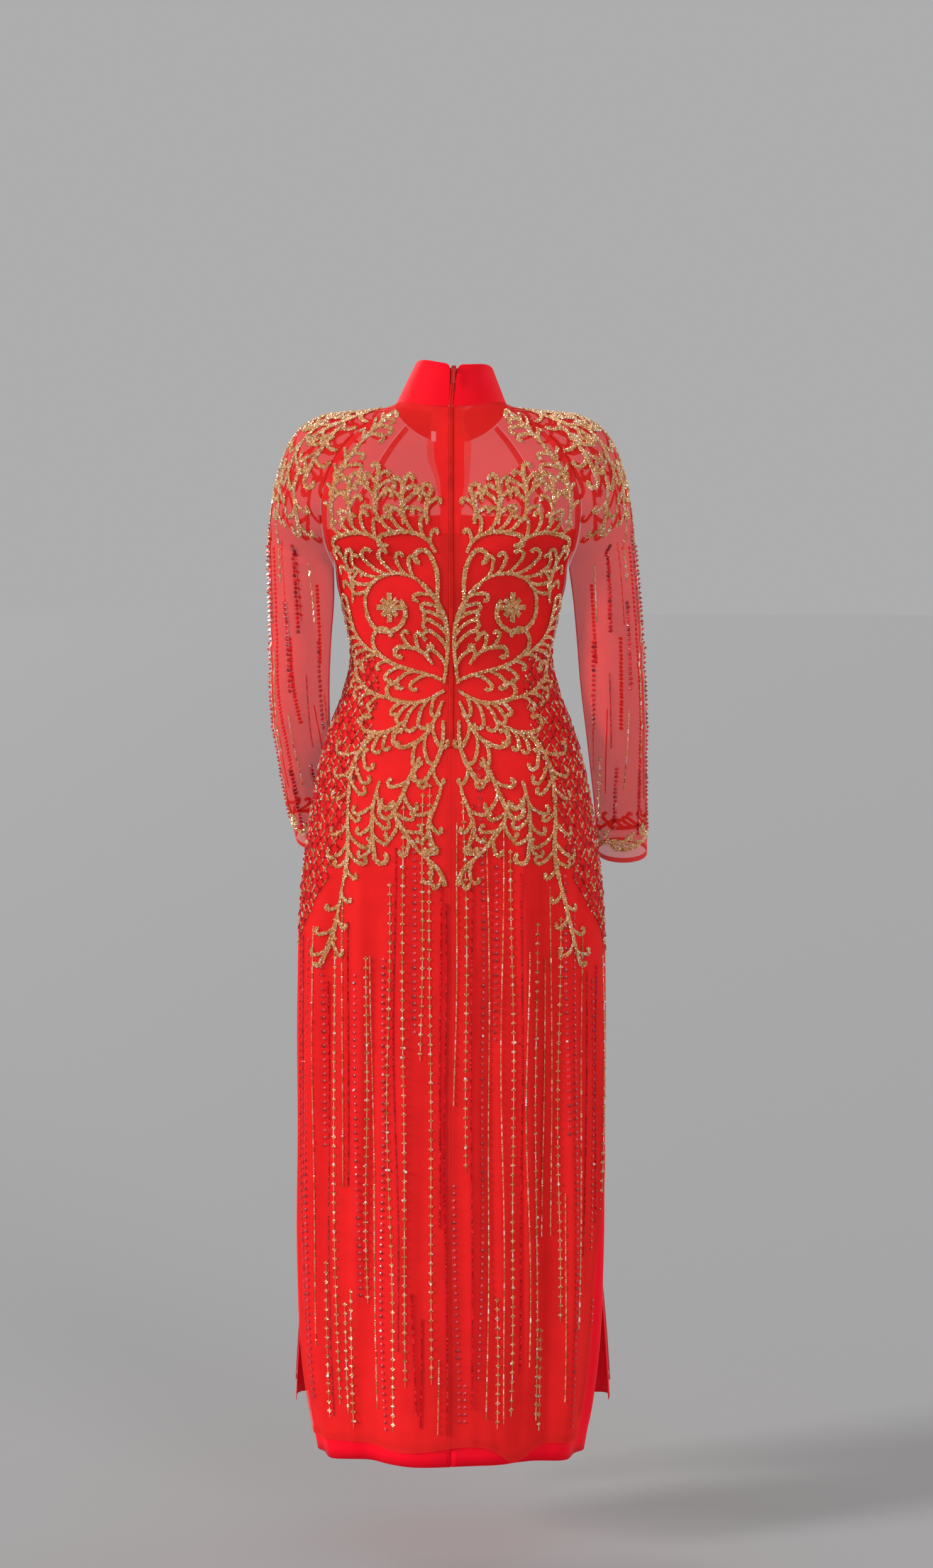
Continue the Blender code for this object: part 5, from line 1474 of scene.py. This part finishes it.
def scroll_lines(scroll):
    """The lines of one stem and its leaves, each with its width. Leaves are largest halfway up the stem."""
    u, v, aim, to_u, to_v, to_aim, curl, sweep, leaves, leaf, sides = scroll
    stem = stem_line(np.array([u, v]), aim, np.array([to_u, to_v]), to_aim)
    lines = []
    for i in range(leaves):
        share = (i + 0.5) / leaves
        at = int((LEAF_FROM + LEAF_RANGE * share) * (len(stem) - 2))
        way = stem[at + 1] - stem[at]
        side = sides or (1 if i % 2 else -1)
        wave = sum(rate * value for rate, value in zip(LEAF_WAVES, (i, u, v)))
        uneven = 1 + LEAF_UNEVEN * math.sin(wave)
        size = leaf * (LEAF_LEAST + LEAF_GROWTH * math.sin(math.pi * share)) * uneven
        line = leaf_line(stem[at], math.degrees(math.atan2(way[1], way[0])), side, size)
        if line[:, 0].min() > CENTRE_CLEAR:
            lines.append((line, LEAF_WIDTH))
    if sweep:
        stem = np.concatenate([stem, curl_line(stem[-1], to_aim, curl, sweep, STEM_TIGHTEN)])
    lines.append((stem, STEM_WIDTH))
    return lines


def rosette_lines(u, v, radius):
    """Petals round a middle, long and short in turn."""
    run = np.linspace(PETAL_START, 1.0, PETAL_POINTS)[:, None]
    lines = []
    for i in range(PETALS):
        reach = radius * (SHORT_PETAL if i % 2 else 1.0)
        lines.append((np.array([u, v]) + aimed(i * 360 / PETALS) * reach * run, PETAL_WIDTH))
    return lines


def mirrored(lines):
    return lines + [(line * np.array([-1, 1]), width) for line, width in lines]


def line_widths(line, width):
    """A line's width along it, narrow where it starts."""
    grown = np.minimum(np.linspace(0, LINE_FILL, len(line)), 1.0)
    return width * (LINE_START + LINE_GROWTH * grown)


def sideways(line):
    """Unit vectors to the left of a line at each of its points."""
    way = np.gradient(line, axis=0)
    way /= length(way)
    return np.stack([-way[:, 1], way[:, 0]], axis=1)


def beads_along(lines, rng):
    """Rows of the beads that fill bands along lines, as stamp_beads takes them."""
    rows = []
    for line, width in lines:
        half = line_widths(line, width)[:, None] / 2
        for lane in STEM_LANES if width == STEM_WIDTH else LEAF_LANES:
            place = line + sideways(line) * half * lane + rng.normal(0, BEAD_SCATTER, line.shape)
            turn = rng.uniform(0, np.pi, (len(line), 1))
            size = BEAD_SIZE * rng.uniform(*BEAD_UNEVEN, (len(line), 1))
            rows.append(np.concatenate([place, turn, size, size, size * BEAD_HEIGHT], axis=1))
    return np.concatenate(rows)


def copies(shape, places, normals, along, sizes, tilt=None):
    """Corners and triangles of a bead shape at places; along is its long way, sizes are along, across, up."""
    corners, triangles = np.array(shape[0]), np.array(shape[1])
    beside = np.cross(normals, along)
    lean = normals if tilt is None else normals + along * tilt[:, :1] + beside * tilt[:, 1:]
    verts = (
        places[:, None, :]
        + along[:, None, :] * (corners[None, :, 0:1] * sizes[:, None, 0:1])
        + beside[:, None, :] * (corners[None, :, 1:2] * sizes[:, None, 1:2])
        + lean[:, None, :] * (corners[None, :, 2:3] * sizes[:, None, 2:3])
    )
    faces = triangles[None] + (np.arange(len(places)) * len(corners))[:, None, None]
    return verts.reshape(-1, 3), faces.reshape(-1, 3)


def stamp_beads(name, surface, shape, rows, look, materials, rng, out=BEAD_OUT):
    """Copies of a bead shape on a surface. Rows are u, v, the turn from across to up, and three sizes."""
    places, normals, across, on_it = surface.at(rows[:, 0], rows[:, 1], out)
    rows, places, normals, across = rows[on_it], places[on_it], normals[on_it], across[on_it]
    up = np.cross(normals, across) * surface.hand
    along = across * np.cos(rows[:, 2:3]) + up * np.sin(rows[:, 2:3])
    lean = rng.normal(0, BEAD_LEAN, (len(rows), 2))
    verts, faces = copies(shape, places, normals, along, rows[:, 3:], lean)
    slot, _, _, tones, odds = BEAD_LOOKS[look]
    # Each bead draws one tone; the gold look's near-white tone is a painted glint
    colours = np.array(tones)[rng.choice(len(tones), len(rows), p=odds)]
    colours = np.repeat(colours, len(shape[0]), axis=0)
    on_garment(build_mesh(name, verts, faces, materials[slot], smooth_shaded=False, colours=colours))


def stamp_glint_crystals(name, surface, rows, share, growth, materials, rng):
    """Crystals in the places of a few of the beads, larger than them; their near-white colour is a painted
    glint.
    """
    few = rows[rng.uniform(0, 1, len(rows)) < share].copy()
    few[:, 3:] *= growth
    stamp_beads(name, surface, STUD, few, "crystal", materials, rng, out=GLINT_CRYSTAL_OUT)


def scroll_ground(name, surface, lines, material):
    """The low ground of thread and beads that fills the scrolls' bands, domed a little. Its dark brown is
    painted shade, for the gaps between the beads.
    """
    verts, faces = [], []
    count = 0
    for line, width in lines:
        line = line[::2] if len(line) > SHORT_LINE else line
        half = line_widths(line, width)[:, None] / 2
        flat = np.stack([line + sideways(line) * half * share for share, _ in GROUND_PROFILE], axis=1)
        outs = np.broadcast_to([out for _, out in GROUND_PROFILE], flat.shape[:2])
        verts.append(np.column_stack([flat.reshape(-1, 2), outs.reshape(-1)]))
        faces.append(grid_faces(*flat.shape[:2]) + count)
        count += flat.shape[0] * flat.shape[1]
    rows, faces = np.concatenate(verts), np.concatenate(faces)
    places, _, _, on_it = surface.at(rows[:, 0], rows[:, 1], rows[:, 2])
    faces = faces[on_it[faces].all(axis=1)]
    on_garment(build_mesh(name, places, faces, material, flat=rows[:, :2]))


def bead_rows(u, v, turn, size):
    """Rows for stamp_beads, of beads with the same turn and size."""
    return np.column_stack([u, v, np.full(len(v), turn), np.tile(size, (len(v), 1))])


def lattice_rows(surface, side, rng):
    """Beads of the side lattice: dark seeds along crossing lines, and gold bugles on some stretches."""
    reds, golds = [], []
    for slope in (LATTICE_SLOPE, -LATTICE_SLOPE):
        turn = math.atan(slope)
        for start in np.arange(-LATTICE_REACH, LATTICE_REACH, LATTICE_CELL):
            v = np.arange(LATTICE_LOW, LATTICE_HIGH, LATTICE_STEP * math.sin(abs(turn)))
            u = start + (v - LATTICE_MIDDLE) / slope
            edge = np.interp(-v, surface.steps, surface.u[:, -1])
            keep = (u > smooth(LATTICE, -v)[:, 0] * edge) & (u < edge - LATTICE_EDGE)
            u, v = u[keep], v[keep]
            stretch = np.floor(v / (LATTICE_CELL * LATTICE_SLOPE / 2)).astype(int)
            gold = (stretch * 3 + round(start / LATTICE_CELL) * 2) % 7 < 3
            gold &= rng.uniform(0, 1, len(u)) < LATTICE_GOLD_SHARE
            reds.append(bead_rows(u[~gold] * side, v[~gold], turn * side, LATTICE_RED_SIZE))
            golds.append(bead_rows(u[gold] * side, v[gold], turn * side, LATTICE_GOLD_SIZE))
    return {"red": np.concatenate(reds), "gold": np.concatenate(golds)}


def string_rows(u, start, end, kind, sway, phase):
    """Beads of one hanging string: the shape, colour and rows of each bead of its group."""
    pitch, group = STRINGS[kind]
    v = np.arange(start, end, -pitch)
    run = (start - v) / SWAY_RUN
    slow, fast = SWAY_WAVES
    u = u + sway * np.sin(run * slow + phase) + sway * 0.5 * np.sin(run * fast + 2 * phase)
    return [
        (shape, colour, bead_rows(u + across, v + up, turn, size))
        for shape, colour, across, up, turn, size in group
    ]


def lay_strings(name, surface, strings, materials, rng):
    """Hanging strings on a surface, as one piece for each colour and bead shape."""
    found = {}
    for u, start, end, kind in strings:
        sway = rng.uniform(*STRING_SWAY)
        phase = rng.uniform(*STRING_PHASE)
        for shape, colour, rows in string_rows(u, start, end, kind, sway, phase):
            found.setdefault((shape, colour), []).append(rows)
    for shape, colour in sorted(found):
        rows = np.concatenate(found[shape, colour])
        stamp_beads(f"{name}_{colour}_{shape}", surface, BEAD_SHAPES[shape], rows, colour, materials, rng)
        # A few studs of each string become crystals, painted glints
        if shape == "stud":
            glint_crystals = f"{name}_{colour}_crystals"
            stamp_glint_crystals(glint_crystals, surface, rows, STRING_GLINT_CRYSTALS, STRING_GLINT_CRYSTAL_SIZE, materials, rng)


def string_start(share):
    """The level where a string of the skirt starts, at a share of the way from -1 to 1 across the panel."""
    reach = abs(share)
    wave = START_WAVE * math.sin(reach * START_WAVES) * (reach < WAVE_REACH)
    return START_LEVEL + wave - START_DROP * (reach > DROP_REACH)


def skirt_strings(surface, hem, rng):
    """Strings all the way across a skirt panel, uneven in start, length and kind."""
    strings = []
    last = 0
    for i in range(SKIRT_STRINGS):
        share = (i + 0.5) / SKIRT_STRINGS * 2 - 1
        edge = surface.edges(SPREAD_DOWN)[1] - mesh_trim(SPREAD_DOWN, share) - SPREAD_EDGE
        u = share * edge + rng.uniform(*STRING_SHIFT)
        start = string_start(share) + rng.uniform(*STRING_START)
        while start > -hem + LOWEST_START:
            last = (last + rng.integers(1, len(SKIRT_KINDS))) % len(SKIRT_KINDS)
            end = max(start - rng.uniform(*STRING_LENGTH), -hem + rng.uniform(*STRING_END))
            strings.append((u, start, end, SKIRT_KINDS[last]))
            start = end - rng.uniform(*STRING_BREAK)
    return strings


def lay_scrolls(name, surface, lines, materials, rng):
    """The beads of scrolls, with the ground under them, whose dark brown is painted shade, and a few
    crystals, which are painted glints.
    """
    scroll_ground(f"{name}_ground", surface, lines, materials["bead_ground_gap_shade"])
    rows = beads_along(lines, rng)
    stamp_beads(f"{name}_beads", surface, STUD, rows, "gold", materials, rng, out=SCROLL_BEAD_OUT)
    glint_crystals = f"{name}_crystals"
    stamp_glint_crystals(glint_crystals, surface, rows, SCROLL_GLINT_CRYSTALS, SCROLL_GLINT_CRYSTAL_SIZE, materials, rng)


def lay_beadwork(back, front, sleeves, materials):
    """All the beads. The seeded draws come in a fixed order, piece by piece."""
    rng = np.random.default_rng(SEED)
    for slot, metallic, roughness, _, _ in BEAD_LOOKS.values():
        materials[slot] = bead_material(slot, metallic, roughness)
    lines = [line for scroll in SCROLLS for line in scroll_lines(scroll)]
    lines += [line for rosette in ROSETTES for line in rosette_lines(*rosette)]
    for name, surface, hem in (("back", back, BACK_HEM_DOWN), ("front", front, FRONT_HEM_DOWN)):
        lay_scrolls(f"{name}_scrolls", surface, mirrored(lines), materials, rng)
        for side, word in SIDES:
            for colour, rows in lattice_rows(surface, side, rng).items():
                piece = f"{name}_lattice_{word}_{colour}"
                stamp_beads(piece, surface, BUGLE, rows, colour, materials, rng)
        lay_strings(f"{name}_strings", surface, skirt_strings(surface, hem, rng), materials, rng)
    lines = mirrored([line for scroll in SLEEVE_SCROLLS for line in scroll_lines(scroll)])
    for word, sleeve in sleeves.items():
        lay_scrolls(f"sleeve_scrolls_{word}", sleeve, lines, materials, rng)
        lay_strings(f"sleeve_strings_{word}", sleeve, SLEEVE_STRINGS, materials, rng)


def make_studio():
    """Camera, soft lights from far off, a grey surround and the floor."""
    scene = bpy.context.scene
    camera = bpy.data.objects.new("camera", bpy.data.cameras.new("camera"))
    camera.data.lens = CAMERA_LENS
    camera.location = CAMERA_PLACE
    camera.rotation_euler = (math.radians(90 - CAMERA_DOWN), 0, 0)
    scene.collection.objects.link(camera)
    scene.camera = camera
    for i, (place, strength, spread) in enumerate(LIGHTS):
        light = bpy.data.lights.new(f"light_{i}", "SUN")
        light.angle = math.radians(spread)
        light.energy = strength
        lamp = bpy.data.objects.new(f"light_{i}", light)
        lamp.location = place
        lamp.rotation_euler = Vector(place).to_track_quat("Z", "Y").to_euler()
        scene.collection.objects.link(lamp)
    world = bpy.data.worlds.new("studio")
    world.use_nodes = True
    world.node_tree.nodes["Background"].inputs["Color"].default_value = WORLD_COLOUR
    scene.world = world
    scene.view_settings.view_transform = "Standard"
    angle = np.linspace(0, 2 * np.pi, FLOOR_SIDES + 1)[:-1]
    ring = points(np.cos(angle) * FLOOR_RADIUS, np.sin(angle) * FLOOR_RADIUS, FLOOR_LEVEL)
    build_mesh("floor", ring, np.arange(FLOOR_SIDES)[None, :], plain_floor())


def plain_floor():
    material, shader = new_material("pale_floor", Roughness=FLOOR_ROUGHNESS)
    grain = add_node(material, "ShaderNodeTexNoise", Scale=2.0, Detail=2.0)
    ramp = add_node(material, "ShaderNodeValToRGB")
    for element, colour in zip(ramp.color_ramp.elements, FLOOR_COLOURS):
        element.color = colour
    link(material, grain.outputs["Fac"], ramp.inputs["Fac"])
    link(material, ramp.outputs["Color"], shader.inputs["Base Color"])
    return material


def main():
    materials = {name: cloth_material(name) for name in MATERIALS}
    back, front = (
        panel_surface(base, flip, swelling, folds, hem, fine_steps(hem), creases)
        for base, flip, swelling, folds, hem, creases in (
            (back_base, -1, SHOULDER_BLADE, BACK_FOLDS, BACK_HEM_DOWN, BACK_CREASES),
            (front_base, 1, BUST_CUP, FRONT_FOLDS, FRONT_HEM_DOWN, FRONT_CREASES),
        )
    )
    back.margins = bead_margins(back.steps, (0, 1))
    front.margins = bead_margins(front.steps, (0, 0))
    sleeves = {
        "left": sleeve_surface(-1, LEFT_SLEEVE, SLEEVE_CREASES),
        "right": sleeve_surface(1, RIGHT_SLEEVE, SLEEVE_CREASES),
    }
    make_studio()
    make_back(back, materials)
    make_front(front, materials)
    for side, word in SIDES:
        make_sleeve(side, word, sleeves[word], materials)
    seam_strips(back, front, sleeves, materials)
    make_back_seam(back, materials)
    make_neck_seam(back, materials)
    make_centre_seam(back, materials)
    make_zip(back, materials)
    make_collar(materials)
    lay_beadwork(back, front, sleeves, materials)
    for name in ("zip_slider", "zip_pull"):
        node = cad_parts[name]
        node.data.materials.clear()
        node.data.materials.append(materials["painted_metal"])


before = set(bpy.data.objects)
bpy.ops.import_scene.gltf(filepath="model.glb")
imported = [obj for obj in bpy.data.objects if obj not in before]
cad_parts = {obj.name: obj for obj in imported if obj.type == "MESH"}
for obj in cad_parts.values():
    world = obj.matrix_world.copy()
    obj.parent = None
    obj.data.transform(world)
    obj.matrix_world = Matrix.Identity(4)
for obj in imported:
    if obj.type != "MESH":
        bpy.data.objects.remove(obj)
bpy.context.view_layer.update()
main()
